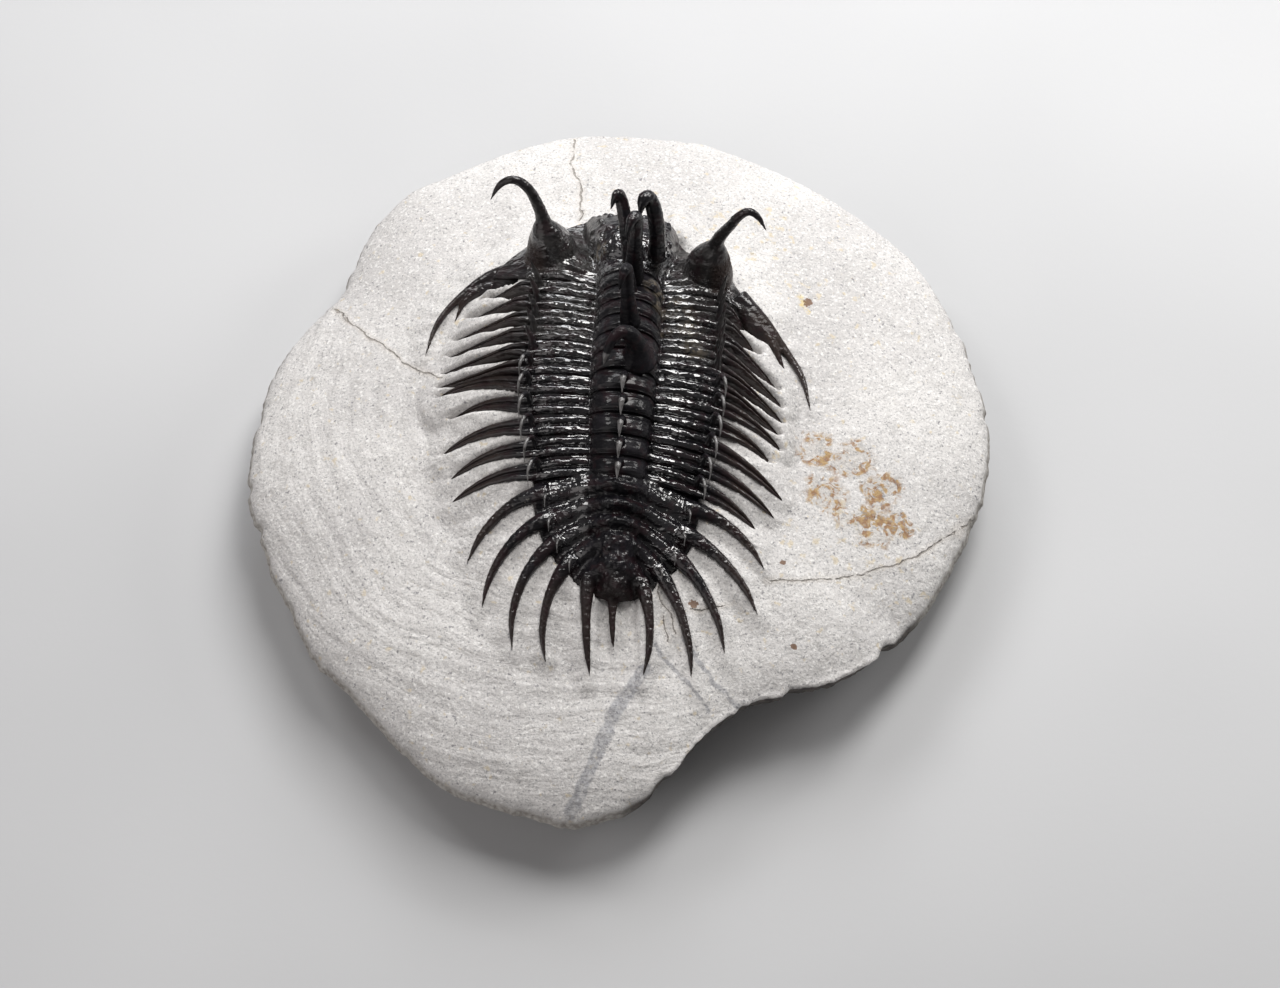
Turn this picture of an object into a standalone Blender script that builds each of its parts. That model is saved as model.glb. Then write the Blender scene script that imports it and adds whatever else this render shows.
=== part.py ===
"""Comura trilobite on its loose piece of limestone matrix.

Fourteen solids: the matrix, the head shield (cephalon), eleven thoracic segments and the tail
shield (pygidium). Lengths are in millimetres and MM turns them into metres. +Z points out of
the flat underside, +Y points to the head, and the origin is in the middle of the underside.
"""
import math

import bmesh
import bpy
from mathutils import Vector

MM = 0.001
GAP = 0.3

# Matrix: outline radius every ten degrees from +X, with the broken edge at 280 to 310 degrees
OUTLINE_RADII = (
    57.5, 58.5, 58.5, 59.0, 59.5, 59.0, 59.0, 59.0, 60.0,
    60.0, 60.5, 60.0, 59.5, 60.0, 57.5, 54.0, 55.5, 57.0,
    57.5, 58.0, 57.0, 56.5, 57.0, 56.5, 58.0, 60.0, 60.0,
    60.0, 55.5, 48.5, 47.0, 49.5, 52.0, 53.0, 54.0, 55.5,
)
RIM_HEIGHT = 10.0
DOME_HEIGHT = 20.0
BREAK_FROM = 276.0
BREAK_TO = 330.0
BREAK_RIM_RISE = 2.5
BREAK_FADE = 9.0
DOME_FLATNESS = 3.0
DOME_SHOULDER = 0.6
SLAB_SPOKES = 60
SLAB_RINGS = (1.0, 0.93, 0.84, 0.74, 0.64, 0.54, 0.45, 0.36, 0.27, 0.18, 0.1)
UNDERSIDE = ((0.985, 0.74), (0.93, 0.38), (0.87, 0.12), (0.8, 0.0))

# The fossil leans to its right about its long axis, and its tail bends a little to the right
ROLL = math.radians(6.0)
ROLL_HEIGHT = 26.0
TAIL_BEND = 1.7
TAIL_BEND_FROM = 2.0
TAIL_BEND_POWER = 1.3

# Course of the body at the axial furrows, from the tail: where it starts, then pitch piece by piece
TAIL_Y = -28.65
TAIL_Z = 22.7
TAIL_LENGTH = 18.0
TAIL_PITCH = 12.9
SEGMENT_PITCH = 3.0
SEGMENT_ANGLES = (-16.0, -15.0, -14.0, -12.0, -8.0, -2.0, 6.0, 12.0, 16.0, 18.0, 19.0)
SEGMENT_COUNT = len(SEGMENT_ANGLES)

# Thorax: half widths and height of the axial lobe, from segment 1 to segment 11
FULCRUM = (14.8, 14.8, 14.8, 14.8, 14.8, 14.8, 14.7, 14.4, 13.9, 13.2, 12.5)
AXIS_HALF = (5.0, 5.0, 5.0, 5.0, 5.0, 5.0, 4.9, 4.8, 4.6, 4.4, 4.2)
AXIS_HEIGHT = (4.4, 4.4, 4.4, 4.4, 4.3, 4.2, 4.0, 3.8, 3.6, 3.4, 3.2)
FULCRUM_DROP = 1.2
FULCRUM_FORWARD = 1.5
FULCRUM_STEP = 0.25
PLEURA_ARCH = 0.35
SHELL = 1.6
AXIS_HOLLOW = 0.65

# Arched cross section that the axial rings, the tail's axis and the glabella share
ARCH_FLATNESS = 2.3
ARCH_SHOULDER = 0.55

# Sections of a segment, front to back along the body and up from the surface, then the underside
RIB_SECTION = (
    (1.35, -0.55), (0.8, 0.0), (0.05, -0.4), (-0.7, 0.15), (-1.35, -0.5),
    (-1.0, -SHELL), (1.0, -SHELL),
)
RING_SECTION = (
    (1.35, -0.8), (0.85, -0.15), (0.1, 0.05), (-0.75, 0.15), (-1.35, -0.6),
    (-1.0, -SHELL), (1.0, -SHELL),
)
UNDERSIDE_POINTS = 2
RING_SHARE = 0.85
FURROW_SHARE = 0.3
RING_STATIONS = (0.4, 0.72, 0.94, 1.08)
PLEURA_STATIONS = (0.35, 0.75, 1.0)

# Tips of the side spines on the rock, left and right of the axis, segment 1 to segment 11
LEFT_TIPS = (
    (-22.8, 20.4), (-24.8, 17.2), (-26.3, 13.7), (-26.8, 10.8), (-27.3, 7.9), (-27.9, 5.3),
    (-28.0, 3.0), (-25.4, -0.8), (-26.1, -6.3), (-24.4, -10.1), (-23.7, -13.7),
)
RIGHT_TIPS = (
    (18.0, 17.6), (20.2, 13.6), (23.4, 8.2), (24.4, 5.2), (24.4, 2.8), (23.9, 0.6),
    (24.3, -1.9), (22.8, -4.2), (24.8, -9.9), (23.6, -12.7), (21.1, -15.0),
)
TIP_CLEARANCE = 0.85
BLADE_STATIONS = (0.2, 0.42, 0.64, 0.84)
BLADE_WIDTH = (0.78, 0.62, 0.46, 0.28)
BLADE_THICKNESS = (0.72, 0.56, 0.44, 0.3)
BLADE_MIDDLE = 0.55
BLADE_LIFT = 0.26
BLADE_BOW_LEFT = 1.2
BLADE_BOW_RIGHT = -0.2
BLADE_CENTRE = 0.6

# Axial spines: way points from the crest of their own segment, right, forward and up
AXIAL_SPINES = {
    1: ((0.0, -0.3, -0.8), (0.2, 1.2, 5.9), (0.2, 3.4, 10.5), (0.2, 2.7, 11.6), (0.2, 1.4, 11.4)),
    2: ((0.0, -0.2, -0.8), (-0.2, 0.4, 3.0), (-0.6, 0.2, 6.2), (-0.8, -0.5, 7.4)),
    3: ((0.0, 0.0, -0.8), (-0.2, 0.3, 1.6), (-0.4, -0.2, 3.2)),
    4: ((0.0, -0.4, -0.6), (-0.5, 1.8, 4.4), (-0.7, 3.6, 8.0), (-0.7, 3.2, 9.1), (-0.7, 2.0, 9.3)),
    5: ((0.0, 0.0, -0.8), (0.0, 0.1, 1.0), (0.0, -0.3, 1.9)),
    6: ((0.0, 0.1, -0.9), (-0.3, 1.2, 2.7), (-1.1, 0.1, 4.3), (-1.9, -1.5, 4.4), (-2.7, -3.6, 3.6)),
}
AXIAL_RADII = {1: 1.0, 2: 0.6, 3: 0.5, 4: 0.9, 5: 0.8, 6: 1.45}
LOW_AXIAL_SPINE = ((0.0, 0.2, -0.8), (0.0, -0.7, 1.5), (0.0, -2.4, 2.4), (0.0, -4.2, 2.2))
LOW_AXIAL_RADIUS = 0.5
AXIAL_TAPER = (1.15, 1.0, 0.9, 0.7)
POINT_RADIUS = 0.05

# Fulcral spines: upright hooks on the first five segments, swept back behind them
FRONT_FULCRAL = ((0.0, 0.0, -0.9), (0.4, 0.3, 1.3), (0.9, -0.1, 2.7), (1.4, -1.3, 3.2))
REAR_FULCRAL = ((0.0, 0.0, -0.9), (0.3, -0.7, 1.2), (0.4, -2.1, 1.8), (0.3, -3.5, 1.5))
FRONT_FULCRAL_COUNT = 5
FULCRAL_RADIUS = 0.48
FULCRAL_INSET = 0.9
RIB_CREST = 3

# Pygidium: rows run from the axis to the margin, every second row is a rib with a marginal spine
PYGIDIUM_LENGTH = 16.6
PYGIDIUM_HALF = 12.3
PYGIDIUM_ROWS = 12
PYGIDIUM_AXIS_END = 16.0
PYGIDIUM_AXIS_HALF = 4.1
PYGIDIUM_AXIS_HEIGHT = 3.0
PYGIDIUM_AXIS_MOST = 0.8
PYGIDIUM_DROOP = 1.9
PYGIDIUM_SWEEP = 1.4
PYGIDIUM_EDGE = 0.9
AXIS_COLUMNS = (0.6, 0.93, 1.12)
RIB_COLUMN = 0.55
PYGIDIUM_HOLLOW = 1.5
PYGIDIUM_AXIS_TAPER = 0.55
PYGIDIUM_AXIS_FALL = 0.6
PYGIDIUM_LEAN = 0.1
PYGIDIUM_DROOP_POWER = 2.4
RIB_HEIGHT = 0.5
RIB_FADE = 0.3
RIB_SPINE = ((0.0, -0.5), (-0.2, 0.8), (-1.3, 1.5))
RIB_SPINE_SHARE = 0.66
RIB_SPINE_RADIUS = 0.42
RIB_SPINE_ROWS = (1, 3, 5, 7)
MARGIN_LEFT_TIPS = ((-20.8, -23.6), (-17.9, -30.4), (-12.8, -36.6), (-7.8, -38.2), (-1.4, -39.6))
MARGIN_RIGHT_TIPS = ((22.8, -21.3), (22.2, -28.3), (17.7, -34.4), (13.1, -38.5), (6.1, -38.9))
MARGIN_MEDIAN_TIP = (1.7, -35.4)
MARGIN_ROWS = (1, 3, 5, 7, 9)
MARGIN_RADIUS = 1.2
MARGIN_STEP = 0.04
MARGIN_REACH = 0.42
MARGIN_TURN = 78.0
MARGIN_SINK = 0.5
MARGIN_ROOT = 0.82
MARGIN_LIFT = 0.7
MARGIN_PLACES = (0.0, 0.18, 0.42, 0.72, 1.0)
MARGIN_TAPER = (0.6, 1.0, 0.82, 0.55, 0.05)
MEDIAN_RADIUS = 0.8

# Cephalon: plan of the margin in front of segment 1 and the profile of the glabella
HEAD_BACK = 21.2
HEAD_FRONT = 38.2
CHEEK_LEFT = ((-21.0, 23.4), (-19.2, 26.6), (-16.6, 29.6), (-13.6, 32.0), (-10.6, 34.4), (-8.6, 35.6))
CHEEK_RIGHT = ((20.2, 19.4), (18.6, 23.0), (16.0, 26.4), (12.8, 28.4), (9.8, 30.7), (7.8, 33.6))
HEAD_FURROW = ((21.2, 26.7), (24.2, 25.4), (28.0, 23.6), (32.0, 21.4), (36.0, 20.2), (39.0, 20.0))
GLABELLA_TOP = (
    (21.2, 30.6), (22.4, 30.9), (23.6, 30.3), (24.8, 29.0), (26.2, 29.8), (28.4, 29.9),
    (30.6, 29.2), (32.6, 28.0), (34.4, 26.3), (36.0, 24.0), (37.2, 21.6), (38.2, 20.3),
)
GLABELLA_HALF = (
    (21.2, 5.0), (24.5, 5.0), (27.0, 5.9), (30.0, 7.0), (33.0, 7.4), (36.0, 7.3), (38.2, 6.8),
)
HEAD_ROWS = 10
HEAD_COLUMNS = 19
HEAD_EDGE = 0.85
HEAD_GAP = 0.45
HEAD_CURVE = 2.2
HEAD_BACK_SHARE = 0.42
HEAD_UNDERSIDE = (0.0, 28.0, 21.4)
CHEEK_CREST = 9.0
CHEEK_FALL = 0.17
EYE_PLACE = (11.5, 27.2)
EYE_REACH = 7.0
EYE_MOUND = 2.8

# Eye towers with their horns and the occipital pair, as way points with a radius at each
EYE_LEFT = (
    (-12.3, 27.3, 23.6, 4.2), (-12.6, 27.6, 27.0, 3.8), (-13.2, 28.0, 29.8, 2.8),
    (-13.6, 28.5, 31.6, 1.8), (-13.8, 29.0, 32.8, 1.15), (-14.3, 29.7, 34.6, 0.95),
    (-15.6, 30.6, 37.8, 0.8), (-17.2, 31.1, 39.6, 0.72), (-18.8, 31.1, 39.9, 0.62),
    (-20.4, 30.6, 38.8, 0.48), (-21.9, 29.2, 36.1, 0.05),
)
EYE_RIGHT = (
    (11.6, 26.7, 22.2, 4.1), (11.8, 26.8, 25.3, 3.7), (12.3, 27.1, 28.0, 2.8),
    (12.7, 27.4, 29.8, 1.8), (12.9, 27.7, 31.0, 1.15), (13.5, 27.9, 33.0, 0.95),
    (14.9, 28.0, 36.0, 0.8), (16.0, 28.3, 38.0, 0.72), (17.4, 28.6, 39.0, 0.62),
    (18.9, 28.1, 38.4, 0.48), (20.5, 26.8, 36.0, 0.05),
)
OCCIPITAL_LEFT = (
    (0.3, 23.3, 28.6, 1.0), (-0.3, 24.0, 33.6, 1.0), (-0.9, 26.1, 38.0, 0.95),
    (-1.8, 28.4, 41.0, 0.85), (-2.5, 28.2, 41.9, 0.6), (-3.2, 26.2, 40.6, 0.05),
)
OCCIPITAL_RIGHT = (
    (3.3, 23.9, 27.6, 1.1), (3.9, 24.6, 32.0, 1.15), (3.6, 27.0, 37.8, 1.1),
    (2.5, 28.6, 41.0, 1.0), (1.6, 27.6, 41.8, 0.8), (1.2, 25.6, 40.0, 0.05),
)
GENAL_LEFT = (
    (-17.4, 26.0, 22.6, 1.3), (-22.2, 24.6, 22.6, 1.3), (-26.6, 21.4, 21.6, 1.0),
    (-29.6, 17.6, 20.8, 0.75), (-30.9, 11.6, 19.9, 0.05),
)
GENAL_RIGHT = (
    (16.8, 23.6, 22.2, 1.2), (20.4, 19.7, 22.0, 1.2), (24.0, 15.2, 21.0, 1.0),
    (27.0, 11.0, 20.4, 0.75), (29.0, 4.9, 19.5, 0.05),
)
SHORT_LEFT = ((-20.2, 23.8, 21.8, 1.1), (-24.0, 21.8, 22.0, 0.8), (-27.0, 17.6, 20.9, 0.05))
SHORT_RIGHT = ((18.2, 21.6, 21.8, 0.9), (21.9, 16.8, 21.6, 0.8), (24.9, 11.0, 20.5, 0.05))

# Bed of rock under the fossil: how far below the course it lies and how wide its slope is
BED_DEPTH = 4.2
BED_HALF = (
    (-27.5, 3.0), (-25.0, 6.5), (-20.0, 9.5), (-12.0, 11.6), (-6.0, 13.0), (2.0, 14.4),
    (18.0, 13.6), (24.0, 11.6), (28.0, 11.4), (32.0, 9.5), (36.0, 6.0),
)
BED_SLOPE = ((-28.0, 3.0), (-6.0, 3.5), (2.0, 8.0), (14.0, 7.0), (20.0, 3.6), (30.0, 3.0))

BLACK_SHELL = (0.018, 0.016, 0.016)
LIMESTONE = (0.62, 0.6, 0.56)


def clear_scene():
    for existing in list(bpy.data.objects):
        bpy.data.objects.remove(existing, do_unlink=True)


def smooth(amount):
    amount = min(max(amount, 0.0), 1.0)
    return amount * amount * (3.0 - 2.0 * amount)


def read_curve(pairs, at):
    """Straight-line reading of a short list of (place, value) pairs."""
    if at <= pairs[0][0]:
        return pairs[0][1]
    for (x0, v0), (x1, v1) in zip(pairs, pairs[1:]):
        if at <= x1:
            return v0 + (v1 - v0) * (at - x0) / (x1 - x0)
    return pairs[-1][1]


def spline_point(points, at):
    """Point of a Catmull-Rom curve through points, at from 0 to 1."""
    last = len(points) - 1
    place = min(max(at, 0.0), 1.0) * last
    index = min(int(place), last - 1)
    t = place - index
    p1, p2 = points[index], points[index + 1]
    p0 = points[index - 1] if index > 0 else p1 * 2.0 - p2
    p3 = points[index + 2] if index + 2 <= last else p2 * 2.0 - p1
    return 0.5 * (
        p1 * 2.0
        + (p2 - p0) * t
        + (p0 * 2.0 - p1 * 5.0 + p2 * 4.0 - p3) * t * t
        + (p1 * 3.0 - p0 - p2 * 3.0 + p3) * t * t * t
    )


def bent_line(start, bend, end, t):
    """Point of a simple curve from start to end that is drawn towards bend, t from 0 to 1."""
    return start * (1.0 - t) ** 2 + bend * 2.0 * t * (1.0 - t) + end * t * t


def outline_radius(angle):
    """Radius of the slab's rim at an angle in degrees."""
    step = 360.0 / len(OUTLINE_RADII)
    place = (angle % 360.0) / step
    index = int(place)
    t = place - index
    count = len(OUTLINE_RADII)
    r0, r1, r2, r3 = (OUTLINE_RADII[(index + k) % count] for k in (-1, 0, 1, 2))
    return 0.5 * (
        2.0 * r1 + (r2 - r0) * t + (2.0 * r0 - 5.0 * r1 + 4.0 * r2 - r3) * t * t
        + (3.0 * r1 - r0 - 3.0 * r2 + r3) * t * t * t
    )


def in_break(angle):
    """One in the middle of the broken edge, fading to zero at its ends."""
    return smooth((angle - BREAK_FROM) / BREAK_FADE) * smooth((BREAK_TO - angle) / BREAK_FADE)


def course_stations():
    """Course points from tail to head: (y, z, pitch) at the middle of each piece, tail first."""
    y, z = TAIL_Y, TAIL_Z
    stations = []
    pieces = [(TAIL_LENGTH, TAIL_PITCH)]
    pieces += [(SEGMENT_PITCH, angle) for angle in reversed(SEGMENT_ANGLES)]
    for length, degrees in pieces:
        pitch = math.radians(degrees)
        dy, dz = length * math.cos(pitch), length * math.sin(pitch)
        stations.append((y + dy / 2.0, z + dz / 2.0, pitch))
        y, z = y + dy, z + dz
    return stations


STATIONS = course_stations()
COURSE = [(TAIL_Y, TAIL_Z)] + [(y, z) for y, z, _ in STATIONS] + list(HEAD_FURROW)


def segment_station(number):
    return STATIONS[SEGMENT_COUNT + 1 - number]


def axis_x(y):
    """Sideways place of the body's middle line."""
    bend = max(0.0, (TAIL_BEND_FROM - y) / (TAIL_BEND_FROM - TAIL_Y))
    return TAIL_BEND * bend ** TAIL_BEND_POWER


def place(x, y, z):
    """Carries a point from the upright body to where the rolled body lies."""
    up = z - ROLL_HEIGHT
    return Vector((
        axis_x(y) + x * math.cos(ROLL) + up * math.sin(ROLL),
        y,
        ROLL_HEIGHT + up * math.cos(ROLL) - x * math.sin(ROLL),
    ))


def dome_height(x, y):
    """Top of the bare slab, without the bed under the fossil."""
    angle = math.degrees(math.atan2(y, x)) % 360.0
    share = min(math.hypot(x, y) / outline_radius(angle), 1.0)
    rim = RIM_HEIGHT + BREAK_RIM_RISE * in_break(angle)
    return rim + (DOME_HEIGHT - rim) * (1.0 - share ** DOME_FLATNESS) ** DOME_SHOULDER


def rock_height(x, y):
    """Top of the rock with the bed that carries the fossil."""
    side = x - axis_x(y)
    beyond = math.hypot(
        max(0.0, abs(side) - read_curve(BED_HALF, y)),
        max(0.0, BED_HALF[0][0] - y, y - BED_HALF[-1][0]),
    )
    raised = 1.0 - smooth(beyond / read_curve(BED_SLOPE, y))
    bed = read_curve(COURSE, y) - BED_DEPTH - side * math.tan(ROLL)
    dome = dome_height(x, y)
    return dome + max(0.0, bed - dome) * raised


def new_object(name, mesh_data, material):
    """Turns a bmesh in millimetres into a named object in metres."""
    bmesh.ops.recalc_face_normals(mesh_data, faces=mesh_data.faces)
    for vertex in mesh_data.verts:
        vertex.co = vertex.co * MM
    mesh = bpy.data.meshes.new(name)
    mesh_data.to_mesh(mesh)
    mesh_data.free()
    solid = bpy.data.objects.new(name, mesh)
    bpy.context.scene.collection.objects.link(solid)
    if material is not None:
        mesh.materials.append(material)
    return solid


def make_material(name, colour, roughness):
    material = bpy.data.materials.new(name)
    material.use_nodes = True
    shader = material.node_tree.nodes["Principled BSDF"]
    shader.inputs["Base Color"].default_value = (*colour, 1.0)
    shader.inputs["Roughness"].default_value = roughness
    shader.inputs["Metallic"].default_value = 0.0
    return material


def stone_material(piece_name):
    return make_material(piece_name + "_limestone", LIMESTONE, 0.9)


def shell_material(piece_name):
    return make_material(piece_name + "_shell", BLACK_SHELL, 0.25)


def bridge(mesh_data, ring_a, ring_b, closed=True):
    count = len(ring_a)
    for k in range(count if closed else count - 1):
        after = (k + 1) % count
        corners = [ring_a[k], ring_a[after], ring_b[after], ring_b[k]]
        unique = list(dict.fromkeys(corners))
        if len(unique) >= 3:
            mesh_data.faces.new(unique)


def fan(mesh_data, ring, tip):
    for k in range(len(ring)):
        mesh_data.faces.new((ring[k], ring[(k + 1) % len(ring)], tip))


def spine_solid(name, points, radii, stations, sides):
    """A tapering round spine along a curve through points, flat at its root and sharp at its tip."""
    mesh_data = bmesh.new()
    places = [Vector(p) for p in points]
    widths = [Vector((r, 0.0, 0.0)) for r in radii]
    rings = []
    across = None
    for k in range(stations):
        at = k / stations
        here = spline_point(places, at)
        along = (spline_point(places, at + 0.02) - here).normalized()
        if across is None:
            across = along.orthogonal().normalized()
        across = (across - along * across.dot(along)).normalized()
        other = along.cross(across)
        radius = max(spline_point(widths, at).x, POINT_RADIUS)
        rings.append([
            mesh_data.verts.new(here + radius * (math.cos(a) * across + math.sin(a) * other))
            for a in (2.0 * math.pi * j / sides for j in range(sides))
        ])
    for ring_a, ring_b in zip(rings, rings[1:]):
        bridge(mesh_data, ring_a, ring_b)
    mesh_data.faces.new(rings[0])
    fan(mesh_data, rings[-1], mesh_data.verts.new(places[-1]))
    return new_object(name, mesh_data, None)


def taper(radius, count):
    """Radii from the root of a spine to its sharp tip."""
    return [radius * (1.0 - k / (count - 1)) ** 0.75 for k in range(count)]


def fuse(host, spines):
    """Joins spines to the piece they grow from, as one closed solid."""
    for spine in spines:
        union = host.modifiers.new("fused spine", "BOOLEAN")
        union.operation = "UNION"
        union.solver = "EXACT"
        union.object = spine
    graph = bpy.context.evaluated_depsgraph_get()
    fused = bpy.data.meshes.new_from_object(host.evaluated_get(graph))
    host.modifiers.clear()
    host.data = fused
    for spine in spines:
        bpy.data.objects.remove(spine, do_unlink=True)


def close_underside(mesh_data, rim, joint_count, number, edge, middle):
    """Gives a shield its edge and underside, the first joint_count rim points facing segment number."""
    half_axis = AXIS_HALF[number - 1]
    lowered = []
    for k, vertex in enumerate(rim):
        drop = edge
        side = abs(vertex.co.x - axis_x(vertex.co.y))
        if k < joint_count and side < half_axis:
            drop += AXIS_HOLLOW * cross_height(side, half_axis, AXIS_HEIGHT[number - 1], half_axis)
        lowered.append(mesh_data.verts.new(vertex.co - Vector((0.0, 0.0, drop))))
    bridge(mesh_data, rim, lowered)
    fan(mesh_data, lowered, mesh_data.verts.new(middle))


def arch(share):
    """Height of a lobe, one on its middle line and zero at its furrow, share 0 to 1."""
    return (1.0 - min(share, 1.0) ** ARCH_FLATNESS) ** ARCH_SHOULDER


def finish_shading(solid):
    solid.data.shade_smooth()
    solid.data.set_sharp_from_angle(angle=math.radians(40.0))


def cross_height(side, half_axis, axis_height, fulcrum):
    """Height of a segment's surface over the axial furrow at a distance from the middle line."""
    if side < half_axis:
        return axis_height * arch(side / half_axis)
    share = (side - half_axis) / (fulcrum - half_axis)
    return PLEURA_ARCH * math.sin(math.pi * share) - FULCRUM_DROP * share * share


def blend_sections(amount):
    """Section between the axial ring's and the rib's, amount 0 to 1."""
    return [
        (a[0] + (b[0] - a[0]) * amount, a[1] + (b[1] - a[1]) * amount)
        for a, b in zip(RING_SECTION, RIB_SECTION)
    ]


def body_ring(number, x):
    """Points of one section of a segment, at sideways place x inside the fulcra."""
    y, z, pitch = segment_station(number)
    fulcrum, half_axis = FULCRUM[number - 1], AXIS_HALF[number - 1]
    side = abs(x)
    height = cross_height(side, half_axis, AXIS_HEIGHT[number - 1], fulcrum)
    forward = (FULCRUM_FORWARD - FULCRUM_STEP * (number - 1)) * (side / fulcrum) ** 2
    section = blend_sections(smooth((side / half_axis - RING_SHARE) / FURROW_SHARE))
    ring = []
    for k, (along, up) in enumerate(section):
        level = height
        if k >= len(section) - UNDERSIDE_POINTS and side < half_axis:
            level = (1.0 - AXIS_HOLLOW) * height
        s, h = along + forward, level + up
        ring.append(place(
            x,
            y + s * math.cos(pitch) - h * math.sin(pitch),
            z + s * math.sin(pitch) + h * math.cos(pitch),
        ))
    return ring


def blade_rings(number, tip, root_ring):
    """Sections of a side spine from its fulcrum to near its tip, and the tip itself."""
    _, _, pitch = segment_station(number)
    root = sum(root_ring, Vector()) / len(root_ring)
    end = Vector((tip[0], tip[1], rock_height(*tip) + TIP_CLEARANCE))
    outward = math.copysign(1.0, tip[0])
    bow = BLADE_BOW_LEFT if outward < 0.0 else BLADE_BOW_RIGHT
    bend = root.lerp(end, BLADE_MIDDLE) + Vector((0.0, bow, BLADE_LIFT * (root.z - end.z)))
    rings = []
    for t, width, thickness in zip(BLADE_STATIONS, BLADE_WIDTH, BLADE_THICKNESS):
        here = bent_line(root, bend, end, t)
        along = ((bend - root) * (1.0 - t) + (end - bend) * t).normalized()
        forward = Vector((0.0, math.cos(pitch), math.sin(pitch)))
        wide = (forward - along * forward.dot(along)).normalized()
        up = along.cross(wide) * -outward
        if up.z < 0.0:
            up = -up
        rings.append([
            here + wide * (s * width) + up * ((h + BLADE_CENTRE) * thickness)
            for s, h in RIB_SECTION
        ])
    return rings, end


def segment_crest(number):
    y, z, pitch = segment_station(number)
    height = AXIS_HEIGHT[number - 1]
    return place(0.0, y - height * math.sin(pitch), z + height * math.cos(pitch))


def axial_spine(number):
    way = AXIAL_SPINES.get(number, LOW_AXIAL_SPINE)
    radius = AXIAL_RADII.get(number, LOW_AXIAL_RADIUS)
    crest = segment_crest(number)
    points = [crest + Vector(p) for p in way]
    radii = [radius * share for share in AXIAL_TAPER[:len(way) - 1]] + [POINT_RADIUS]
    return spine_solid("axial spine", points, radii, len(way), 6)


def fulcral_spine(number, outward):
    way = FRONT_FULCRAL if number <= FRONT_FULCRAL_COUNT else REAR_FULCRAL
    ring = body_ring(number, outward * (FULCRUM[number - 1] - FULCRAL_INSET))
    root = ring[RIB_CREST]
    points = [root + Vector((outward * x, y, z)) for x, y, z in way]
    return spine_solid("fulcral spine", points, taper(FULCRAL_RADIUS, 4), 3, 4)


def thorax_segment(number):
    """One thoracic segment: axial ring, side plates, side spines, fulcral spines, axial spine."""
    fulcrum, half_axis = FULCRUM[number - 1], AXIS_HALF[number - 1]
    inner = [half_axis * share for share in RING_STATIONS]
    outer = [half_axis + (fulcrum - half_axis) * share for share in PLEURA_STATIONS]
    sides = inner + outer
    mesh_data = bmesh.new()
    left_root = body_ring(number, -fulcrum)
    right_root = body_ring(number, fulcrum)
    left_rings, left_tip = blade_rings(number, LEFT_TIPS[number - 1], left_root)
    right_rings, right_tip = blade_rings(number, RIGHT_TIPS[number - 1], right_root)
    rings = left_rings[::-1]
    rings += [body_ring(number, -x) for x in reversed(sides)]
    rings += [body_ring(number, 0.0)]
    rings += [body_ring(number, x) for x in sides]
    rings += right_rings
    made = [[mesh_data.verts.new(p) for p in ring] for ring in rings]
    for ring_a, ring_b in zip(made, made[1:]):
        bridge(mesh_data, ring_a, ring_b)
    fan(mesh_data, made[0], mesh_data.verts.new(left_tip))
    fan(mesh_data, made[-1], mesh_data.verts.new(right_tip))
    name = "thorax_segment_%02d" % number
    segment = new_object(name, mesh_data, shell_material(name))
    fuse(segment, [axial_spine(number), fulcral_spine(number, -1.0), fulcral_spine(number, 1.0)])
    return segment


def pygidium_axis(row):
    """Share of the half width that the axis takes in a row of the tail shield."""
    back = row / PYGIDIUM_ROWS
    edge_x = PYGIDIUM_HALF * math.cos(math.radians(90.0 * back))
    half_axis = PYGIDIUM_AXIS_HALF * (1.0 - PYGIDIUM_AXIS_TAPER * back)
    return half_axis / max(edge_x, half_axis / PYGIDIUM_AXIS_MOST)


def pygidium_point(row, share):
    """Point of the tail shield's surface: row 0 to PYGIDIUM_ROWS, share -1 (left) to 1 (right)."""
    back = row / PYGIDIUM_ROWS
    turn = math.radians(90.0 * (1.0 - back))
    edge_x = PYGIDIUM_HALF * math.sin(turn)
    edge_s = -PYGIDIUM_LENGTH * math.cos(turn)
    axis_s = -PYGIDIUM_AXIS_END * back
    side = abs(share)
    x = edge_x * side
    s = axis_s + (edge_s - axis_s) * side * side - PYGIDIUM_SWEEP * (x / PYGIDIUM_HALF) ** 2
    h = -PYGIDIUM_DROOP * side ** PYGIDIUM_DROOP_POWER
    h += PYGIDIUM_AXIS_HEIGHT * (1.0 - PYGIDIUM_AXIS_FALL * back) * arch(side / pygidium_axis(row))
    s -= PYGIDIUM_LEAN * max(h, 0.0) * (1.0 - back)
    h -= RIB_HEIGHT * math.cos(math.pi * row) * (1.0 - RIB_FADE * side)
    return math.copysign(x, share), s, h


def pygidium_place(x, s, h):
    front_y = TAIL_Y + TAIL_LENGTH * math.cos(math.radians(TAIL_PITCH)) - GAP / 2.0
    front_z = TAIL_Z + TAIL_LENGTH * math.sin(math.radians(TAIL_PITCH))
    pitch = math.radians(TAIL_PITCH)
    return place(
        x,
        front_y + s * math.cos(pitch) - h * math.sin(pitch),
        front_z + s * math.sin(pitch) + h * math.cos(pitch),
    )


def pygidium_columns(row):
    """Shares of a row's half width where the surface is sampled, from the axis outward."""
    axis = pygidium_axis(row)
    return [0.0] + [axis * share for share in AXIS_COLUMNS] + [axis + (1.0 - axis) * RIB_COLUMN, 1.0]


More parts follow.
